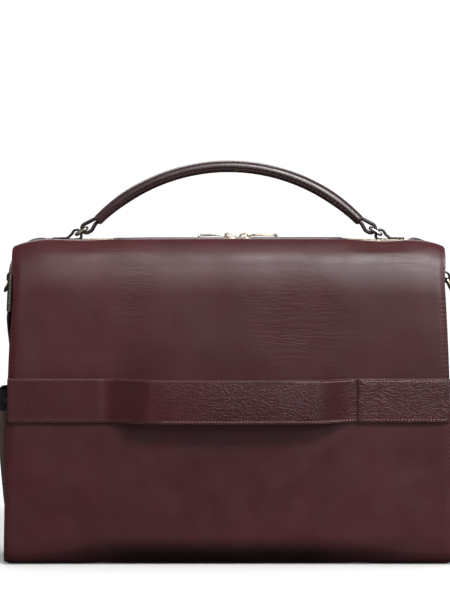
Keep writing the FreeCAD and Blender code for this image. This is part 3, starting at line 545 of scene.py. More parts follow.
def bead(length, width, height, rings=5, around=8):
    """A pointed oval: one visible stitch."""
    points = [(-length / 2, 0, 0)]
    for i in range(1, rings):
        t = math.pi * i / rings
        for k in range(around):
            a = 2 * math.pi * k / around
            spread = math.sin(t) ** 0.6
            y, z = width / 2 * spread * math.cos(a), height * spread * math.sin(a)
            points.append((-length / 2 * math.cos(t), y, z))
    points.append((length / 2, 0, 0))
    faces = [[0, 1 + k, 1 + (k + 1) % around] for k in range(around)]
    for i in range(rings - 2):
        for k in range(around):
            a, b = 1 + i * around + k, 1 + i * around + (k + 1) % around
            faces.append([a, a + around, b + around, b])
    last = len(points) - 1
    faces += [[last, last - around + (k + 1) % around, last - around + k] for k in range(around)]
    return np.array(points), faces


def bevelled_box(length, width, height, bevel):
    built = bmesh.new()
    bmesh.ops.create_cube(built, size=1.0, matrix=Matrix.Diagonal((length, width, height, 1)))
    bmesh.ops.bevel(built, geom=built.edges[:], offset=bevel, segments=2, affect="EDGES", profile=0.5)
    points = np.array([v.co[:] for v in built.verts])
    faces = [[v.index for v in f.verts] for f in built.faces]
    built.free()
    return points, faces


def slanted(forward, up, slant):
    """Directions turned in the leather's surface, in degrees."""
    a = math.radians(slant)
    return unit(forward * math.cos(a) + np.cross(up, forward) * math.sin(a))


def stitches(name, ends, up, pitch=3.6 * MM, length=2.7 * MM, slant=0.0, thread=THREAD, start=None):
    """A straight row of thread between two points on the leather, the first stitch start from the end."""
    start = pitch if start is None else start
    places, forward = evenly(np.array(ends, float), pitch, start, start)
    up = np.broadcast_to(np.asarray(up, float), places.shape)
    shape = bead(length, THREAD_WIDE, THREAD_HIGH)
    return scatter(name, *shape, places, slanted(forward, up, slant), up, [thread])


def dress(node, material, bevel=0.0):
    """Gives a carried-over CAD node its material and rounds its edges."""
    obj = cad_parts[node]
    obj.data.materials.clear()
    obj.data.materials.append(material)
    if bevel:
        weld = obj.modifiers.new("weld", "WELD")
        weld.merge_threshold = 0.00001
        rounding = obj.modifiers.new("edges", "BEVEL")
        rounding.width = bevel
        rounding.segments = 2
        rounding.limit_method = "ANGLE"
        rounding.angle_limit = math.radians(35)


# ---------------------------------------------------------------- leather sheets


def panel_depth(z):
    """How far a panel's outside stands from the centre at a height."""
    reach = DEPTH - PANEL_EDGE
    high = np.clip((z - (HEIGHT - ROLL_DROP)) / ROLL_DROP, 0, 1)
    low = np.clip(1 - z / HEEL, 0, 1)
    return PANEL_EDGE + reach * np.sqrt(1 - high**2) - HEEL * (1 - np.sqrt(1 - low**2))


def face_lean(z):
    """The face is barrelled: it falls back towards the top and a little towards the foot."""
    upper = 3.4 * MM * np.clip((z - MIDDLE) / 0.126, 0, 1.2) ** 2
    return upper + 2.4 * MM * np.clip((MIDDLE - z) / MIDDLE, 0, 1) ** 2


def leaned(depth, z):
    """The lean dies away over the roll, so that the panel still meets its zip."""
    return depth - face_lean(z) * (depth - PANEL_EDGE) / (DEPTH - PANEL_EDGE)


def panel_face(z):
    """How far the outside of a panel stands from the centre, leaned and rolled."""
    return leaned(panel_depth(z), z)


def top_dip(x):
    """The panel's top edge sags where the zip shows: a little on the left, more on the right."""
    left = np.exp(-(((x + 0.130) / 0.036) ** 2))
    right = np.exp(-(((x - 0.140) / 0.030) ** 2))
    return 1.3 * MM * left + 2.4 * MM * right


def panel_profile():
    """(depth, height) from the zip, over the roll, down the face and under the base."""
    t = np.linspace(0, math.pi / 2, 44)
    reach = DEPTH - PANEL_EDGE
    roll = np.stack([PANEL_EDGE + reach * np.sin(t), HEIGHT - ROLL_DROP * (1 - np.cos(t))], 1)
    roll[:, 1] += 1.3 * MM * np.sin(np.clip((t + 0.12) / 0.8, 0, 1) * math.pi) ** 2
    heights = np.linspace(HEIGHT - ROLL_DROP, HEEL, 190)[1:]
    face = np.stack([np.full(len(heights), DEPTH), heights], 1)
    t = np.linspace(0, math.pi / 2, 12)[1:]
    heel = np.stack([DEPTH - HEEL * (1 - np.cos(t)), HEEL * (1 - np.sin(t))], 1)
    under = np.array([[DEPTH - HEEL - 1 * MM, 0.0]])
    return np.concatenate([roll, face, heel, under])


def shoulder_drop(x):
    """The top of a panel falls away towards its corners."""
    return 6.0 * MM * np.clip((np.abs(x) - 158 * MM) / (36 * MM), 0, 1.2) ** 2


def waves(x, z, seed):
    """Slow hollows and swells of a soft sheet, about -1 to 1."""
    s = seed * 1.7
    a = np.sin(31 * x + 9 * z + s) * np.sin(21 * z - 5 * x + 2 * s)
    b = np.sin(67 * x - 23 * z + 3 * s) * np.sin(43 * z + 11 * x - s)
    return 0.65 * a + 0.35 * b


def fall_away(x, z):
    """Heights, lowered towards the top corners."""
    return z - shoulder_drop(x) * smooth((z - SHOULDER) / (HEIGHT - SHOULDER))


def panel(word, face):
    """The sheet of leather that makes one face: over the roll, down, and under the base."""
    profile = panel_profile()
    share = np.sin(np.linspace(-1, 1, 171) * math.pi / 2)
    depth, z = (np.repeat(profile[:, k : k + 1], len(share), 1) for k in (0, 1))
    depth = leaned(depth, z)
    # towards the middle of the foot the sheet starts to turn under from higher up
    tall = 15 * MM * smooth((0.17 - np.abs(share * BASE_HALF)) / 0.09)[None] * (depth > PANEL_EDGE + 2 * MM)
    curl = np.clip(1 - z / (HEEL + np.maximum(tall, 0.1 * MM)), 0, 1) * (z < 0.1)
    turned_in = DEPTH - face_lean(z) - HEEL * (1 - np.sqrt(1 - curl**2))
    depth = np.where((z > 0.5 * MM) & (z < 0.1), np.minimum(depth, turned_in), depth)
    # the top corners stand out a little, and round off at the very edge
    ear = np.clip((z - (HEIGHT - 3 * MM)) / (3 * MM), 0, 1)
    half = side_half(z) + 2.6 * MM * smooth((z - 0.255) / 0.035) - 1.2 * MM * (1 - np.sqrt(1 - ear**2 * 0.98))
    nip = 1.5 * MM * np.exp(-(((z - 0.243) / 0.024) ** 2))  # the left edge is drawn in below its top corner
    x = share * (half - nip * (share < 0))
    z = fall_away(x, z)
    z = z - top_dip(x) * smooth((z - (HEIGHT - 14 * MM)) / (10 * MM))
    sheet = np.stack([x, face * depth, z], -1)
    out = normals(sheet) * -face
    to_edge = side_half(z) - np.abs(x)
    # the sewn edge tucks in and gathers; away from it the sheet has slow waves
    tuck = 1.9 * MM * (1 - np.clip(to_edge / (8 * MM), 0, 1)) ** 2 * (1 - 0.75 * smooth((z - 0.255) / 0.03))
    pucker = 0.34 * MM * np.sin(z / GATHER_PITCH * 2 * math.pi + np.sin(z * 90))
    gather = pucker * np.exp(-to_edge / (2.6 * MM))
    gather *= 1 - smooth((z - 0.27) / 0.01)
    soft = 0.7 * MM * waves(x, z, 2 + face) * smooth(to_edge / (30 * MM)) * smooth(z / (30 * MM))
    soft *= 1 - 0.8 * smooth((z - 0.27) / 0.02)
    sheet += out * (soft + gather - tuck)[..., None]
    made = skin(f"{word}_leather_panel", orient(sheet, (0, face, 0)), LEATHER, [HIDE, EDGE_PAINT])
    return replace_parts(made, f"{word}_panel")


def wall_sheets(word, face):
    """The foam and the lining behind a panel: both follow the inside of its leather."""
    share = np.linspace(-1, 1, 60)
    low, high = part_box(f"{word}_padding")
    inner = min(abs(low.y), abs(high.y))
    x, z = np.meshgrid(share, np.linspace(low.z, high.z, 60), indexing="ij")
    reach = side_half(z, FOAM_MARGIN)
    x = x * reach
    to_edge = np.minimum(reach - np.abs(x), np.minimum(z - low.z, high.z - z))
    limit = panel_face(z) - LEATHER - 1.5 * MM
    inner = np.minimum(inner, limit - 1.0 * MM)
    plump = 0.35 + 0.65 * np.sqrt(1 - (1 - np.clip(to_edge / (8 * MM), 0, 1)) ** 2)
    near, far = (np.stack([x, face * y, z], -1) for y in (inner, inner + (limit - inner) * plump))
    foam = make(f"{word}_foam_sheet", *closed_sheet(near, far), [FOAM], slot="foam")
    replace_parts(foam, f"{word}_padding")
    low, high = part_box(f"{word}_lining")
    x, z = np.meshgrid(share, np.linspace(low.z, high.z, 60), indexing="ij")
    x = x * np.minimum(high.x, side_half(z, LINING_MARGIN))
    outer = np.minimum(max(abs(low.y), abs(high.y)), panel_face(z) - LEATHER - 2.7 * MM)
    outer = outer - 0.15 * MM * (1 + waves(x, z, 9 + face))
    near, far = (np.stack([x, face * y, z], -1) for y in (outer - 0.7 * MM, outer))
    cloth = make(f"{word}_lining_cloth", *closed_sheet(near, far), [LINING], slot="lining")
    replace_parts(cloth, f"{word}_lining")


def arch_path(foot, top, inset, radius, offset=0.0):
    """Up one side, round both top corners and down the other side, in XZ."""
    lows = np.linspace(foot, top - radius, 40)
    turn = np.linspace(0, math.pi / 2, 22)[1:]
    z = np.concatenate([lows, top - radius + radius * np.sin(turn)])
    halves = []
    for side in (-1, 1):
        up = side_half(lows, inset) + swell(lows, side, offset)
        x = np.concatenate([up, up[-1] - radius * (1 - np.cos(turn))])
        halves.append(np.stack([side * x, z], 1))
    flat = np.linspace(halves[0][-1, 0], halves[1][-1, 0], 120)[1:-1]
    middle = np.stack([flat, np.full(len(flat), top)], 1)
    return np.concatenate([halves[0], middle, halves[1][::-1]])


def side_strip(word, face, hand, side):
    """The leather between a panel's side edge and the zip; it turns in under the panel's corner."""
    lows = np.linspace(2.6 * MM, HEIGHT - ARCH, 70)
    turn = np.linspace(0, math.pi / 2, 24)[1:]
    top = TAPE_TOP - 0.3 * MM
    radius = ARCH - 2 * MM
    up = side_half(lows, SIDE_INSET) + swell(lows, side, -TAPE_REACH)
    zip_x = np.concatenate([up, up[-1] - radius * (1 - np.cos(turn))])
    zip_z = np.concatenate([lows, top - radius + radius * np.sin(turn)])
    zip_y = ZIP_LINE + (TAPE_REACH + 0.2 * MM) * np.cos(zip_turn(zip_z, side))
    outer_z = np.concatenate([lows, HEIGHT - ARCH + (ARCH - 7 * MM) * np.sin(turn)])
    outer_x = side_half(outer_z, SIDE_INSET + 0.4 * MM)
    outer_x[len(lows) :] -= 5 * MM * (turn / turn[-1]) ** 3
    outer_z = fall_away(outer_x, outer_z)
    behind = (1.6 + 1.6 * smooth((outer_z - 0.22) / 0.04)) * MM
    outer_y = np.maximum(panel_face(outer_z) - LEATHER - behind, zip_y + 0.6 * MM)
    inner = np.stack([side * zip_x, face * zip_y, zip_z], 1)
    outer = np.stack([side * outer_x, face * outer_y, outer_z], 1)
    share = np.linspace(0, 1, 14)[None, :, None]
    grid = inner[:, None] * (1 - share) + outer[:, None] * share
    ripple = 0.3 * MM * waves(grid[..., 1] * 3, grid[..., 2], 5)
    grid[..., 0] -= side * (np.sin(share[..., 0] * math.pi) * (0.8 * MM + ripple))
    grid = orient(grid, (side, 0, 0))
    made = skin(f"{word}_side_leather_{hand}", grid, 1.8 * MM, [GUSSET_HIDE, EDGE_PAINT], bevel=0.3 * MM)
    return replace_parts(made, f"{word}_side_strip_{hand}")


def side_gusset(hand, side):
    """The centre gusset below the zips, with a shallow fold down its middle."""
    z = np.linspace(2.6 * MM, GUSSET_FOOT - 0.3 * MM, 90)
    edge = ZIP_LINE + TAPE_REACH
    wide = edge - (edge - GUSSET_HALF) * smooth((z - ZIP_FOOT + 3 * MM) / (3 * MM))
    share = np.linspace(-1, 1, 31)
    y = wide[:, None] * share[None]
    z = np.repeat(z[:, None], len(share), 1)
    sink = np.exp(-((share[None] / 0.35) ** 2)) * 1.3 * MM * smooth(z / 0.05) * smooth((0.225 - z) / 0.05)
    if side < 0:
        sink = sink * 0.3
    out = swell(z, side, TAPE_REACH) * (1 - 0.9 * (1 - share[None] ** 2))
    x = side_half(z, SIDE_INSET) + out - sink + 0.25 * MM * waves(y * 4, z, 8 + side)
    grid = orient(np.stack([side * x, y, z], -1), (side, 0, 0))
    made = skin(f"side_gusset_leather_{hand}", grid, 2 * MM, [GUSSET_HIDE, EDGE_PAINT], bevel=0.3 * MM)
    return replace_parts(made, f"side_gusset_{hand}")


def top_gusset():
    """The strip between the zips, from one shoulder ring over the top to the other."""
    path = in_xz(arch_path(GUSSET_FOOT, GUSSET_TOP, SIDE_INSET - 0.5 * MM, 29.6 * MM, TAPE_REACH))
    out = unit(np.cross(np.gradient(path, axis=0), (0, 1, 0)))
    share = np.linspace(-1, 1, 29)
    edges = [swell(path[:, 2], side, TAPE_REACH) for side in (-1, 1)]
    bulge = 3.4 * MM * smooth((path[:, 2] - (GUSSET_TOP - 12 * MM)) / (12 * MM))
    under_rings = smooth((34 * MM - np.abs(np.abs(path[:, 0]) - 137 * MM)) / (12 * MM))
    crown = (0.9 * MM + bulge) * (1 - under_rings) - 0.9 * MM * under_rings
    crown = crown - 0.9 * np.where(path[:, 0] < 0, *edges)
    lift = crown[:, None] * (1 - share[None] ** 2)
    lift = lift + 0.2 * MM * waves(path[:, :1] + path[:, 2:], share[None] * 0.05, 6) * (1 - share[None] ** 2)
    grid = path[:, None] + out[:, None] * lift[..., None]
    grid[..., 1] = share[None] * GUSSET_HALF
    grid = orient(grid, (0, 0, 1))
    made = skin("top_gusset_leather", grid, LEATHER, [GUSSET_HIDE, EDGE_PAINT], bevel=0.4 * MM)
    top, inset = GUSSET_TOP + 0.25 * MM, SIDE_INSET - 0.75 * MM  # just outside the leather
    seam = arch_path(GUSSET_FOOT, top, inset, 29.8 * MM, 0.75 * TAPE_REACH)
    for word, face in FACES:
        places, forward = evenly(in_xz(seam, face * (GUSSET_HALF - 2.4 * MM)), 3.6 * MM, 3 * MM, 3 * MM)
        up = unit(np.cross((0, 1, 0), forward))
        up = np.where(up[:, 2:3] < -0.1, -up, up)
        shape = bead(2.7 * MM, THREAD_WIDE, THREAD_HIGH)
        scatter(f"top_gusset_stitches_{word}", *shape, places, forward, up, [THREAD])
    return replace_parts(made, "top_gusset")


def base():
    """The sheet under the bag, stitched along both long edges."""
    half_x, half_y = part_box("base_panel")[1].x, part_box("base_panel")[1].y
    x, y = np.meshgrid(np.linspace(-half_x, half_x, 60), np.linspace(-half_y, half_y, 16), indexing="ij")
    z = 0.25 * MM * (1 - np.cos(x * 60) * np.cos(y * 90)) * (1 - (y / half_y) ** 4)
    grid = orient(np.stack([x, y, z], -1), (0, 0, -1))
    made = skin("base_leather", grid, 1.7 * MM, [GUSSET_HIDE, EDGE_PAINT], bevel=0.3 * MM)
    for word, face in FACES:
        ends = [[x, face * (half_y - 3 * MM), 0.1 * MM] for x in (-half_x + 4 * MM, half_x - 4 * MM)]
        stitches(f"base_stitches_{word}", ends, (0, 0, -1))
    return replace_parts(made, "base_panel")


# ---------------------------------------------------------------- zips


def zip_run(word, path, across, up, nodes, width=2.9 * MM, gap=3.3 * MM, tape_drop=0.9 * MM):
    """Two woven tapes and a chain of interlocked metal teeth along one path."""
    for name, away in (("near", -1), ("far", 1)):
        line = path + across * away * gap - up * tape_drop
        section = flat_section(width, 0.9 * MM, 0.3 * MM)
        tape = sweep(f"{word}_tape_{name}", line, across, section, [TAPE], slot="zip_tape")
        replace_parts(tape, nodes[0])
    places, forward = evenly(path, TOOTH_PITCH)
    along = np.concatenate([[0], np.cumsum(np.linalg.norm(np.diff(path, axis=0), axis=1))])
    at = np.linspace(0, along[-1], len(places))
    up = unit(np.stack([np.interp(at, along, up[:, k]) for k in range(3)], 1))
    side = unit(np.cross(up, forward))
    hand = np.where(np.arange(len(places)) % 2 == 0, 1, -1)[:, None]
    points, faces = bevelled_box(1.05 * MM, 2.9 * MM, 1.7 * MM, 0.28 * MM)
    places = places + side * hand * 0.75 * MM
    teeth = scatter(f"{word}_teeth", points, faces, places, forward, up, [TEETH], slot="zip_metal")
    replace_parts(teeth, nodes[1])


def zip_slider(slider, puller, side, metals):
    """A slider with an open bridge of two arches, and its puller, which turns on the pin between them."""
    low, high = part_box(slider)
    x, y, foot = (low.x + high.x) / 2, (low.y + high.y) / 2, low.z + 1.1 * MM
    pin_x, pin_z = x + side * 3.4 * MM, foot + 2.9 * MM
    plate = boss((x, y), 5.9 * MM, 4.3 * MM, foot, foot + 1.2 * MM, 3.2)
    corners = [
        (x - side * 5.0 * MM, foot + 0.8 * MM),
        (x - side * 3.6 * MM, foot + 3.4 * MM, 2.2 * MM),
        (x + side * 1.2 * MM, foot + 4.9 * MM, 3.0 * MM),
        (pin_x + side * 1.9 * MM, pin_z + 0.9 * MM, 1.6 * MM),
        (pin_x + side * 1.9 * MM, foot + 0.8 * MM),
    ]
    arch = in_xz(rounded_path(corners, step=0.6 * MM, turn=12))
    strip = flat_section(1.2 * MM, 1.0 * MM, 0.35 * MM)
    arches = [tube(arch + (0, y + away * 2.1 * MM, 0), (0, 1, 0), strip) for away in (-1, 1)]
    walls = []
    for away in (-1, 1):
        points, faces = bevelled_box(7.6 * MM, 1.0 * MM, 1.6 * MM, 0.25 * MM)
        walls.append((points + (x, y + away * 3.9 * MM, foot - 0.2 * MM), faces))
    shaft = np.array([[pin_x, y - 2.6 * MM, pin_z], [pin_x, y, pin_z], [pin_x, y + 2.6 * MM, pin_z]])
    pin = tube(shaft, (1, 0, 0), round_section(0.65 * MM))
    shape = together(plate, *arches, *walls, pin)
    made = make(f"{slider}_body", *shape, [metals[0]], body=slider, slot="hardware")
    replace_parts(made, slider)

    low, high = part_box(puller)
    length = (pin_x - low.x if side < 0 else high.x - pin_x) - 0.2 * MM
    a = np.linspace(0, 2 * np.pi, 25)[:-1]
    eye = in_xz(np.stack([pin_x + 1.1 * MM * np.cos(a), pin_z + 1.1 * MM * np.sin(a)], 1), y)
    knuckle = tube(eye, (0, 1, 0), flat_section(2.2 * MM, 0.55 * MM, 0.2 * MM), closed=True)
    t = np.linspace(0, 1, 60)
    along = 1.2 * MM + (length - 4.0 * MM) * t
    path = in_xz(np.stack([pin_x + side * along, pin_z + 0.25 * MM * np.sin(t * math.pi)], 1), y)
    wide = 0.50 + 0.50 * smooth((t - 0.08) / 0.14) - 0.22 * smooth((t - 0.3) / 0.7)
    wide *= np.sqrt(np.clip((1.02 - t) / 0.05, 0.02, 1))
    bar = tube(path, (0, 1, 0), flat_section(4.6 * MM, 1.3 * MM, 0.5 * MM, 0.15 * MM), widths=wide)
    k = np.linspace(-1, 1, 13)
    ball = in_xz(np.stack([pin_x + side * (length - 1.6 * MM + 1.6 * MM * k), 0 * k + pin_z], 1), y)
    size = np.sqrt(np.clip(1 - k**2, 0.02, 1))
    knob = tube(ball, (0, 1, 0), round_section(1.6 * MM, 16, 0.85), widths=size, heights=size)
    made = make(f"{puller}_bar", *together(knuckle, bar, knob), [metals[1]], body=puller, slot="hardware")
    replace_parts(made, puller)


def main_zips():
    """A long zip each side of the centre gusset, with two sliders that meet in the middle."""
    line = arch_path(ZIP_FOOT + 1 * MM, TEETH_TOP - 1.25 * MM, SIDE_INSET - 0.6 * MM, 30.1 * MM)
    for word, face in FACES:
        path = in_xz(line, face * ZIP_LINE)
        ahead = unit(np.gradient(path, axis=0))
        out = unit(np.cross(ahead, (0.0, 1.0, 0.0)))
        turn = np.where(path[:, 0] < 0, zip_turn(path[:, 2], -1), zip_turn(path[:, 2], 1))[:, None]
        up = out * np.cos(turn) + np.array((0.0, face, 0.0)) * np.sin(turn)
        across = unit(np.cross(ahead, up))
        zip_run(f"{word}_zip", path, across, up, (f"{word}_zip_tapes", f"{word}_zip_teeth"))
        dress(f"{word}_zip_stops", TEETH, bevel=0.2 * MM)
        for hand, side in SIDES:
            metals = (GOLD, SILVER_AND_LIT_GOLD if side < 0 else BRONZE_AND_SHADED_GOLD)
            zip_slider(f"{word}_slider_{hand}", f"{word}_puller_{hand}", side, metals)


# ---------------------------------------------------------------- handle

ARC_RADIUS = 171 * MM
ARC_CENTRE = 362.3 * MM - ARC_RADIUS
GRIP_ANGLE = math.radians(45.3)


def grip():
    """A leather-wrapped arch: full in the middle, narrower at its ends, pinched along its seams."""
    a = np.linspace(-GRIP_ANGLE, GRIP_ANGLE, 141)
    path = np.stack([np.sin(a) * ARC_RADIUS, 0 * a, ARC_CENTRE + np.cos(a) * ARC_RADIUS], 1)
    t = np.linspace(0, 2 * np.pi, 48, endpoint=False)
    round_off = 1 / (np.abs(np.cos(t)) ** 2.5 + np.abs(np.sin(t)) ** 2.5) ** (1 / 2.5)
    pinch = 1 - 0.075 * sum(np.exp(-(((t - c) / 0.11) ** 2)) for c in (math.pi * 1.12, math.pi * 1.88))
    wide, tall = np.cos(t) * round_off * pinch, np.sin(t) * round_off * pinch
    section = np.stack([wide * 8.5 * MM, tall * 5.5 * MM], 1)
    to_end = (GRIP_ANGLE - np.abs(a)) * ARC_RADIUS
    end = 0.86 + 0.14 * np.sqrt(1 - (1 - np.clip(to_end / (1.6 * MM), 0, 1)) ** 2)
    taper = 0.86 + 0.14 * smooth(to_end / (40 * MM))
    narrow = 0.7 + 0.3 * taper
    size = dict(widths=end * narrow, heights=end * taper)
    made = sweep("grip_leather", path, (0, 1, 0), section, [GRIP_HIDE], body="handle", **size)
    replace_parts(made, "handle_grip")
    up = unit(path - (0, 0, ARC_CENTRE))
    keep = slice(8, -8)  # the seams stop short of the grip's ends
    for word, y in FACES:
        across = np.array((0.0, y, 0.0))
        line = path[keep] + across * 7.55 * MM * narrow[keep, None] - up[keep] * 2.55 * MM * taper[keep, None]
        places, forward = evenly(line, 3.9 * MM, 2 * MM, 2 * MM)
        out = np.repeat(across[None], len(places), 0)
        shape = bead(2.9 * MM, 0.7 * MM, 0.22 * MM)
        scatter(f"grip_stitches_{word}", *shape, places, forward, out, [THREAD], body="handle")


RING_FOOT = np.array((140 * MM, 299.7 * MM))  # (x, z) of the ring's bar in the chape, on the right
RING_HEAD = np.array((131.2 * MM, 305.2 * MM))  # and of its bar in the handle's loop


def wire_ring(name, side, start, along, size, bends, turn, wire, metal_used, body):
    """A closed loop of round wire with a bar along Y at its start.

    start and along are in XZ. size is its length and half width, and bends are the radii of its near and
    far corners.
    """
    (length, half), (near, far) = size, bends
    corners = [(0, 0), (0, half, near), (length, half, far), (length, -half, far), (0, -half, near), (0, 0)]
    outline = rounded_path(corners, step=1 * MM, turn=turn)[:-1]
    x, z = (start[k] + outline[:, 0] * along[k] for k in (0, 1))
    path = np.stack([side * x, outline[:, 1], z], 1)
    across = unit(np.array((-along[1] * side, 0, along[0])))
    section = round_section(wire, 16)
    return sweep(name, path, across, section, [metal_used], closed=True, body=body, slot="hardware")


def handle_ring(hand, side, metal_used):
    """A rounded rectangle, from the chape's loop up to the handle's loop."""
    size = (np.linalg.norm(RING_HEAD - RING_FOOT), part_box(f"handle_ring_{hand}")[1].y - 1.4 * MM)
    made = wire_ring(
        f"ring_wire_{hand}", side, RING_FOOT, unit(RING_HEAD - RING_FOOT), size, (2.4 * MM, 2.4 * MM), 15,
        1.8 * MM, metal_used, f"ring_{hand}",
    )
    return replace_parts(made, f"handle_ring_{hand}")


def strap_loop(name, corners, width, thickness, body, edge=None):
    """A narrow strap along a path in XZ. Further than edge from its middle it is painted."""
    path = in_xz(rounded_path(corners, step=1 * MM, turn=12))
    section = flat_section(width, thickness)
    edge = edge or width / 2 - thickness * 0.3
    return sweep(name, path, (0, 1, 0), section, [GRIP_HIDE, EDGE_PAINT], edge=edge, body=body)


def handle_loop(hand, side):
    """The strap that leaves the grip, goes round the ring's bar and comes back."""
    a = GRIP_ANGLE
    grip_end = np.array((math.sin(a) * ARC_RADIUS, ARC_CENTRE + math.cos(a) * ARC_RADIUS))
    along = unit(RING_HEAD - grip_end)
    across = np.array((-along[1], along[0]))
    out = 3.85 * MM  # from the middle of the ring's wire to the middle of the strap

    def at(origin, forward, sideways, *radius):
        x, z = origin + along * forward + across * sideways
        return (side * x, z, *radius)

    corners = [
        at(grip_end, -5 * MM, 2.2 * MM),
        at(grip_end, 1.5 * MM, 3.1 * MM, 6 * MM),
        at(RING_HEAD, -1.0 * MM, out + 0.2 * MM, 5 * MM),
        at(RING_HEAD, out, out, out - 0.1 * MM),
        at(RING_HEAD, out, -out, out - 0.1 * MM),
        at(RING_HEAD, -3.0 * MM, -out - 0.6 * MM, 3.2 * MM),
        at(grip_end, 1.8 * MM, -0.9 * MM, 4 * MM),
        at(grip_end, -5 * MM, -1.6 * MM),
    ]
    made = strap_loop(f"handle_loop_leather_{hand}", corners, 9.4 * MM, 3.4 * MM, "handle")
    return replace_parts(made, f"handle_loop_{hand}")


def chape(hand, side):
    """The strap sewn to the top that holds the ring."""
    x, z = RING_FOOT
    out = 4.1 * MM  # from the middle of the ring's wire to the middle of the strap
    floor = GUSSET_TOP + 1.9 * MM
    end = x + 22 * MM
    corners = [
        (side * end, floor + 0.6 * MM),
        (side * (x + 9 * MM), floor + 1.0 * MM, 5 * MM),
        (side * (x + out), z + 0.5 * MM, 3 * MM),
        (side * (x + out), z + out, out - 0.1 * MM),
        (side * (x - out), z + out, out - 0.1 * MM),
        (side * (x - out), floor + 0.5 * MM, 2.6 * MM),
        (side * (x + 3 * MM), floor - 0.3 * MM, 3 * MM),
        (side * (end - 1 * MM), floor - 0.7 * MM),
    ]
    made = strap_loop(f"chape_leather_{hand}", corners, 9.4 * MM, 2.3 * MM, None, 4.4 * MM)
    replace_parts(made, f"handle_chape_{hand}")
    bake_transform(made)
    for word, y in FACES:
        seam = ((x + 10 * MM, floor + 1.95 * MM), (end - 1 * MM, floor + 1.8 * MM))
        ends = [[side * at, y * 3.9 * MM, height] for at, height in seam]
        stitches(f"chape_stitches_{hand}_{word}", ends, (0, 0, 1), 2.6 * MM, 2 * MM, start=0.5 * MM)


def handle():
    """The grip on its cord core, with a ring, a loop and a chape at each end."""
    grip()
    dress("handle_core", ROPE)
    # the two rings are one pale gold: the left one takes the darker copy, painted shade, and the right one
    # the lighter copy, a painted highlight
    for (hand, side), wire in zip(SIDES, (BRONZE_AND_SHADED_GOLD, SILVER_AND_LIT_GOLD)):
        handle_ring(hand, side, wire)
        handle_loop(hand, side)
        chape(hand, side)
    dress("chape_rivets", GOLD, bevel=0.3 * MM)


# ---------------------------------------------------------------- trolley strap

STRAP_LOW, STRAP_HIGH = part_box("trolley_strap")[0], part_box("trolley_strap")[1]
STRAP_MID = (STRAP_LOW.z + STRAP_HIGH.z) / 2
STRAP_TALL = STRAP_HIGH.z - STRAP_LOW.z
STRAP_BOW = -DEPTH - STRAP_LOW.y - 2.8 * MM
STRAP_FACE = -DEPTH - 0.3 * MM - 2.8 * MM  # where its outside lies against the back
# along X: the foot and the crown of the left ramp, then the crown and the foot of the right one
RAMPS = (-114 * MM, -70 * MM, 77 * MM, 115 * MM)


def bow(x):
    """How far the strap stands off the back."""
    left, left_crown, right_crown, right = RAMPS
    belly = 0.90 + 0.10 * np.sin(np.pi * np.clip((x - left_crown) / (right_crown - left_crown), 0, 1))
    up = smooth((x - left) / (left_crown - left))
    return STRAP_BOW * belly * up * smooth((right - x) / (right - right_crown))


def strap_rise(x):
    """The left end of the strap lies over its patch, and the right end under its own."""
    return 1.6 * MM * smooth((-0.100 - x) / 0.02)


def trolley_strap():
    """The strap across the back, lying flat at its ends and standing off between its ramps."""
    half = side_half(STRAP_MID, 1.0 * MM)
    x = np.linspace(-half, half, 260)
    share = np.linspace(-1, 1, 23)
    grid_x = np.repeat(x[:, None], len(share), 1)
    z = STRAP_MID + share[None] * STRAP_TALL / 2 + 0 * grid_x
    out = bow(grid_x)
    lift = np.clip(out / STRAP_BOW, 0, 1)
    cup = lift * 0.8 * MM * (share[None] ** 2) + lift * 0.35 * MM * waves(grid_x * 1.6, z, 3)
    y = STRAP_FACE - out - strap_rise(grid_x) + cup
    y = y + 0.12 * MM * waves(grid_x, z, 4)
    grid = orient(np.stack([grid_x, y, z], -1), (0, -1, 0))
    made = skin("trolley_strap_leather", grid, 2.7 * MM, [STRAP_HIDE, STRAP_EDGE], bevel=0.9 * MM)
    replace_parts(made, "trolley_strap")
    for word, sign, slant in (("top", 1, 24), ("bottom", -1, 38)):
        seam = x[(x < RAMPS[-1]) & (x > -half + 3 * MM)]
        worn = 0.06 * sign  # the thread is paler from here on
        lift = 0.8 * MM * np.clip(bow(seam) / STRAP_BOW, 0, 1) * 0.88**2
        face = -DEPTH - 3.15 * MM - bow(seam) - strap_rise(seam) + lift
        line = np.stack([seam, face, 0 * seam + STRAP_MID + sign * (STRAP_TALL / 2 - 2.0 * MM)], 1)
        places, forward = evenly(line, 2.9 * MM, 1 * MM, 1 * MM)
        up = unit(np.cross(forward, (0, 0, 1.0)))
        up = np.where(up[:, 1:2] > 0, -up, up)
        turned = slanted(forward, up, slant)
        pale = places[:, 0] >= worn
        for part, which, thread in (("dark", ~pale, THREAD), ("pale", pale, PALE_THREAD)):
            rows = (places[which], turned[which], up[which])
            scatter(f"strap_stitches_{word}_{part}", *bead(2.5 * MM, 0.9 * MM, 0.45 * MM), *rows, [thread])


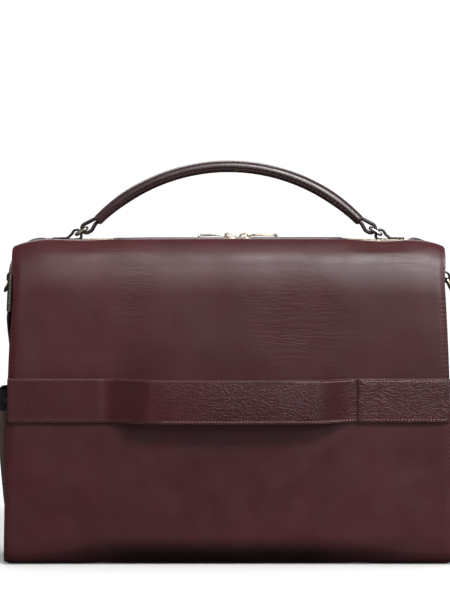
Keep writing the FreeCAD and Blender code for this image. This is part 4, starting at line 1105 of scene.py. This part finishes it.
def patch(hand, side):
    """The patch at one end of the strap: the right one is over it, stitched, and the left one under it."""
    low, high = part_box(f"trolley_patch_{hand}")
    if side < 0:
        low = Vector((low.x, -DEPTH - 1.9 * MM, low.z))
    outer = side_half(STRAP_MID, 0.3 * MM)
    x = np.linspace(min(abs(low.x), abs(high.x)), outer, 50) * side
    share = np.linspace(-1, 1, 17)
    grid_x = np.repeat(x[:, None], len(share), 1)
    z = STRAP_MID + share[None] * (STRAP_TALL / 2 - 0.1 * MM) + 0 * grid_x
    rim = np.minimum(np.abs(grid_x - x[0]), (1 - np.abs(share[None])) * STRAP_TALL / 2)
    y = low.y - 0.35 * MM * smooth(rim / (5 * MM)) + 0.2 * MM * waves(grid_x, z, 6 + side)
    tuck = np.clip((np.abs(grid_x) - (outer - 10 * MM)) / (10 * MM), 0, 1)
    grid = orient(np.stack([grid_x, y + 1.2 * MM * tuck**2, z], -1), (0, -1, 0))
    made = skin(f"strap_patch_leather_{hand}", grid, 1.5 * MM, [PATCH_HIDE, STRAP_EDGE], bevel=0.5 * MM)
    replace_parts(made, f"trolley_patch_{hand}")
    if side < 0:
        return
    inset, face = 2.4 * MM, low.y - 0.15 * MM
    for word, sign in (("top", 1), ("bottom", -1)):
        z_line = STRAP_MID + sign * STRAP_TALL / 2 - sign * inset
        ends = [(side * at, face, z_line) for at in (abs(x[0]) + inset, outer - 3 * MM)]
        name = f"patch_stitches_{hand}_{word}"
        stitches(name, ends, (0, -1, 0), 3.2 * MM, 2.6 * MM, 18, PALE_THREAD, 1.8 * MM)


# ---------------------------------------------------------------- sides


def shoulder_ring(hand, side):
    """A D-shaped ring of round wire that hangs out of its tab."""
    x, z = 201.2 * MM, 258.5 * MM  # of the bar that it swings on
    tilt = math.radians(25)
    made = wire_ring(
        f"shoulder_ring_wire_{hand}", side, (x, z), (math.sin(tilt), -math.cos(tilt)), (12 * MM, 8.6 * MM),
        (1.8 * MM, 7.2 * MM), 12, 1.4 * MM, GOLD, f"strap_ring_{hand}",
    )
    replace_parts(made, f"d_ring_{hand}")
    wall = side_wall(z, side)
    top = 279 * MM
    wall_top = side_wall(top, side)
    out = 2.9 * MM
    corners = [
        (side * (wall_top + 0.9 * MM), top),
        (side * (wall + 1.6 * MM), z + 8 * MM, 4 * MM),
        (side * (x + out - 0.4 * MM), z + out + 1.5 * MM, 3 * MM),
        (side * (x + out), z - out, out - 0.1 * MM),
        (side * (x - out), z - out, out - 0.1 * MM),
        (side * (x - out), z + 2 * MM, 2 * MM),
        (side * (wall + 0.1 * MM), z + 6 * MM, 3 * MM),
        (side * (wall_top - 0.6 * MM), top - 1 * MM),
    ]
    tab = strap_loop(f"shoulder_tab_leather_{hand}", corners, 11.6 * MM, 1.7 * MM, "bag")
    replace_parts(tab, f"d_ring_tab_{hand}")
    for word, y in FACES:
        seam = ((wall + 2.5 * MM, z + 9.5 * MM), (wall_top + 1.85 * MM, top - 1 * MM))
        ends = [[side * at, y * 4.5 * MM, height] for at, height in seam]
        name = f"shoulder_tab_stitches_{hand}_{word}"
        stitches(name, ends, (side, 0, 0), 2.6 * MM, 2 * MM, start=0.5 * MM)


def bottle_pocket():
    """A soft wedge on the left side with a dark elastic collar round its mouth."""
    low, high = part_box("bottle_pocket")
    foot, rim, half = low.z, high.z, high.y
    collar = "bottle_pocket_collar"
    collar_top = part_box(collar)[1].z
    turn = np.linspace(-1, 1, 61)
    for name, bottom, top, node, materials, slot_name in (
        ("bottle_pocket_leather", foot, rim, "bottle_pocket", [POCKET_HIDE, EDGE_PAINT], "leather"),
        ("bottle_collar_elastic", rim + 0.2 * MM, collar_top, collar, [ELASTIC] * 2, "elastic"),
    ):
        z = np.linspace(bottom, top, 44)
        bulge = 1.2 * MM + 13.0 * MM * np.clip((z - foot) / (rim - foot), 0, 1) ** 0.92
        bulge = np.where(z > rim, bulge - 1.6 * MM * (z - rim) / (20 * MM), bulge)
        lift = (1 - np.abs(turn) ** 5) ** 0.5
        y = half * np.sin(turn * math.pi / 2)
        pucker = 0.35 * MM * np.sin(turn[None] * 34) * np.exp(-(((z[:, None] - rim) / (9 * MM)) ** 2))
        x = side_half(z, SIDE_INSET)[:, None] + 0.3 * MM + bulge[:, None] * lift[None] + pucker * lift[None]
        ripple = 0.4 * MM * waves(y[None] * 5, z[:, None], 11)
        x = x + ripple * lift[None] * smooth((z[:, None] - foot) / 0.02)
        grid = np.stack([-x, np.repeat(y[None], len(z), 0), np.repeat(z[:, None], len(y), 1)], -1)
        grid = orient(grid, (-1, 0, 0))
        made = skin(name, grid, 1.5 * MM, materials, bevel=0.3 * MM, slot=slot_name)
        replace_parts(made, node)
    dress("bottle_pocket_snap", DARK_METAL, bevel=0.4 * MM)


def front_pocket():
    """A gusseted pocket whose front swells softly between its sewn edges."""
    low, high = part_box("front_pocket")
    half, bottom, top, crown = high.x, low.z, high.z, high.y
    u = np.sin(np.linspace(-1, 1, 91) * math.pi / 2)
    v = np.sin(np.linspace(-1, 1, 61) * math.pi / 2)
    x, share = np.meshgrid(u * half, v, indexing="ij")
    z = (bottom + top) / 2 + share * (top - bottom) / 2
    across, up = 1 - np.abs(x) / half, (1 + share) / 2
    edge_x = np.clip(across * half / (7 * MM), 0, 1)
    edge_z = np.clip(up * (top - bottom) / (8 * MM), 0, 1)
    round_x, round_z = np.sqrt(1 - (1 - edge_x) ** 2), np.sqrt(1 - (1 - edge_z) ** 2)
    base_y = DEPTH + 0.3 * MM
    y = base_y + (crown - base_y - 0.6 * MM) * round_x * round_z
    y = y + 0.6 * MM * waves(x, z, 9) * smooth(across * 6) * smooth(up * 6)
    grid = orient(np.stack([x, y, z], -1), (0, 1, 0))
    made = skin("front_pocket_leather", grid, LEATHER, [HIDE, EDGE_PAINT], bevel=0.5 * MM)
    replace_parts(made, "front_pocket")
    ends = [(x_end, crown - 0.5 * MM, top - 3.2 * MM) for x_end in (-half + 9 * MM, half - 9 * MM)]
    stitches("front_pocket_stitches_mouth", ends, (0, 1, 0))
    low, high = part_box("front_pocket_teeth")
    x = np.linspace(low.x, high.x, 60)
    path = np.stack([x, np.full(60, (low.y + high.y) / 2), np.full(60, (low.z + high.z) / 2)], 1)
    across, up = (np.broadcast_to(way, path.shape) for way in ((0.0, 1.0, 0.0), (0.0, 0.0, 1.0)))
    nodes = ("front_pocket_tapes", "front_pocket_teeth")
    zip_run("front_pocket_zip", path, across, up, nodes, 3.7 * MM, 3.35 * MM, 0.3 * MM)
    zip_slider("front_pocket_slider", "front_pocket_puller", -1, (GOLD, BRONZE_AND_SHADED_GOLD))


def inside():
    """What the closed bag holds keeps its CAD shape."""
    for node, material in (
        ("base_board", BOARD),
        ("centre_divider", LINING),
        ("laptop_sleeve", FOAM),
        ("laptop_tab", ELASTIC),
        ("organiser_pocket", LINING),
        ("pen_loops", ELASTIC),
    ):
        dress(node, material, bevel=0.3 * MM)
    dress("d_ring_rivets", GOLD, bevel=0.3 * MM)


# ---------------------------------------------------------------- studio


def area_light(name, place, aim, size, power, colour=(1, 1, 1), shows=True):
    """shows is whether glossy surfaces mirror the light."""
    light = bpy.data.lights.new(name, "AREA")
    light.shape = "RECTANGLE"
    light.size, light.size_y = size
    light.energy = power
    light.color = colour
    obj = bpy.data.objects.new(name, light)
    obj.location = place
    obj.visible_glossy = shows
    obj.rotation_euler = (Vector(aim) - Vector(place)).to_track_quat("-Z", "Y").to_euler()
    bpy.context.scene.collection.objects.link(obj)


def paper():
    """Pale paper that fades into the white surround, so that the floor has no far edge."""
    n = Nodes("studio_paper")
    away = n.add("ShaderNodeVectorMath", {0: n.place}, operation="LENGTH").outputs["Value"]
    n.feed(n.shader.inputs["Alpha"], n.ramp(away, 0.40, 1.05, 1.0, 0.0))
    return n.finish((0.62, 0.62, 0.62), 0.9)


def studio():
    """A pale paper floor, a white surround and soft lights. Only the camera sees the surround as white."""
    turns = np.linspace(0, 2 * math.pi, 65)[:-1]
    rings = (0.3, 0.6, 1.0, 1.5, 2.0)
    points = [(r * math.cos(a), r * math.sin(a), -0.3 * MM) for r in rings for a in turns]
    faces, cell = ring_faces(len(rings), len(turns))
    floor = make("studio_floor", points, [cell[0].tolist()] + faces, [paper()], body=None)
    floor.visible_glossy = False
    world = bpy.data.worlds.new("studio_air")
    bpy.context.scene.world = world
    world.use_nodes = True
    tree = world.node_tree

    def node(kind, **values):
        made = tree.nodes.new(kind)
        for key, value in values.items():
            made.inputs[key.replace("_", " ")].default_value = value
        return made

    place, split = node("ShaderNodeTexCoord"), node("ShaderNodeSeparateXYZ")
    height = node("ShaderNodeMapRange", From_Min=-0.10, From_Max=0.25, To_Min=0.02, To_Max=0.14)
    surround, pick = node("ShaderNodeBackground"), node("ShaderNodeMixShader")
    shade, seen = tree.nodes["Background"], node("ShaderNodeLightPath")
    tree.links.new(place.outputs["Generated"], split.inputs[0])
    tree.links.new(split.outputs["Z"], height.inputs["Value"])
    tree.links.new(height.outputs[0], shade.inputs["Strength"])
    shade.inputs["Color"].default_value = surround.inputs["Color"].default_value = (1, 1, 1, 1)
    surround.inputs["Strength"].default_value = 1.05
    tree.links.new(seen.outputs["Is Camera Ray"], pick.inputs[0])
    tree.links.new(shade.outputs[0], pick.inputs[1])
    tree.links.new(surround.outputs[0], pick.inputs[2])
    tree.links.new(pick.outputs[0], tree.nodes["World Output"].inputs["Surface"])
    area_light("high_behind_camera", (0.70, -1.80, 1.75), (0.05, 0, 0.2), (1.4, 0.42), 64)
    area_light("middle_behind_camera", (1.00, -2.4, 1.15), (0.05, 0, 0.2), (1.2, 0.6), 13)
    area_light("low_behind_camera", (1.2, -3.2, 1.18), (0, 0, 0.2), (2.2, 1.3), 17)
    area_light("high_opposite", (-0.2, 1.75, 1.75), (0, 0, 0.2), (1.6, 0.7), 20)
    area_light("opposite_left", (-2.3, 2.5, 1.0), (0, 0, 0.15), (1.4, 1.1), 9)
    area_light("opposite_right", (2.3, 2.5, 1.0), (0, 0, 0.15), (1.4, 1.1), 9)
    area_light("overhead", (0.1, -0.1, 2.0), (0, 0, 0.2), (1.6, 0.9), 38, shows=False)
    area_light("right", (1.8, -0.9, 0.8), (0.05, 0, 0.15), (0.8, 1.4), 8, (1, 0.97, 0.94))
    area_light("left", (-1.8, -0.6, 0.8), (-0.05, 0, 0.15), (0.8, 1.4), 3.0)
    bpy.context.scene.view_settings.view_transform = "Standard"


def camera():
    """Straight behind the bag and a little above its top, from two and a half metres."""
    lens = bpy.data.cameras.new("camera")
    eye, aim = Vector((-0.003, -2.55, 0.34)), Vector((-0.0033, -DEPTH, 0.241))
    view_height = 0.543  # what the frame takes in at the back panel
    lens.lens = lens.sensor_width * (aim - eye).length / view_height
    obj = bpy.data.objects.new("camera", lens)
    obj.location = eye
    obj.rotation_euler = (aim - eye).to_track_quat("-Z", "Y").to_euler()
    bpy.context.scene.collection.objects.link(obj)
    bpy.context.scene.camera = obj


camera()
for word, face in FACES:
    panel(word, face)
    wall_sheets(word, face)
    for hand, side in SIDES:
        side_strip(word, face, hand, side)
for hand, side in SIDES:
    side_gusset(hand, side)
    shoulder_ring(hand, side)
    patch(hand, side)
top_gusset()
base()
main_zips()
handle()
trolley_strap()
bottle_pocket()
front_pocket()
inside()
studio()
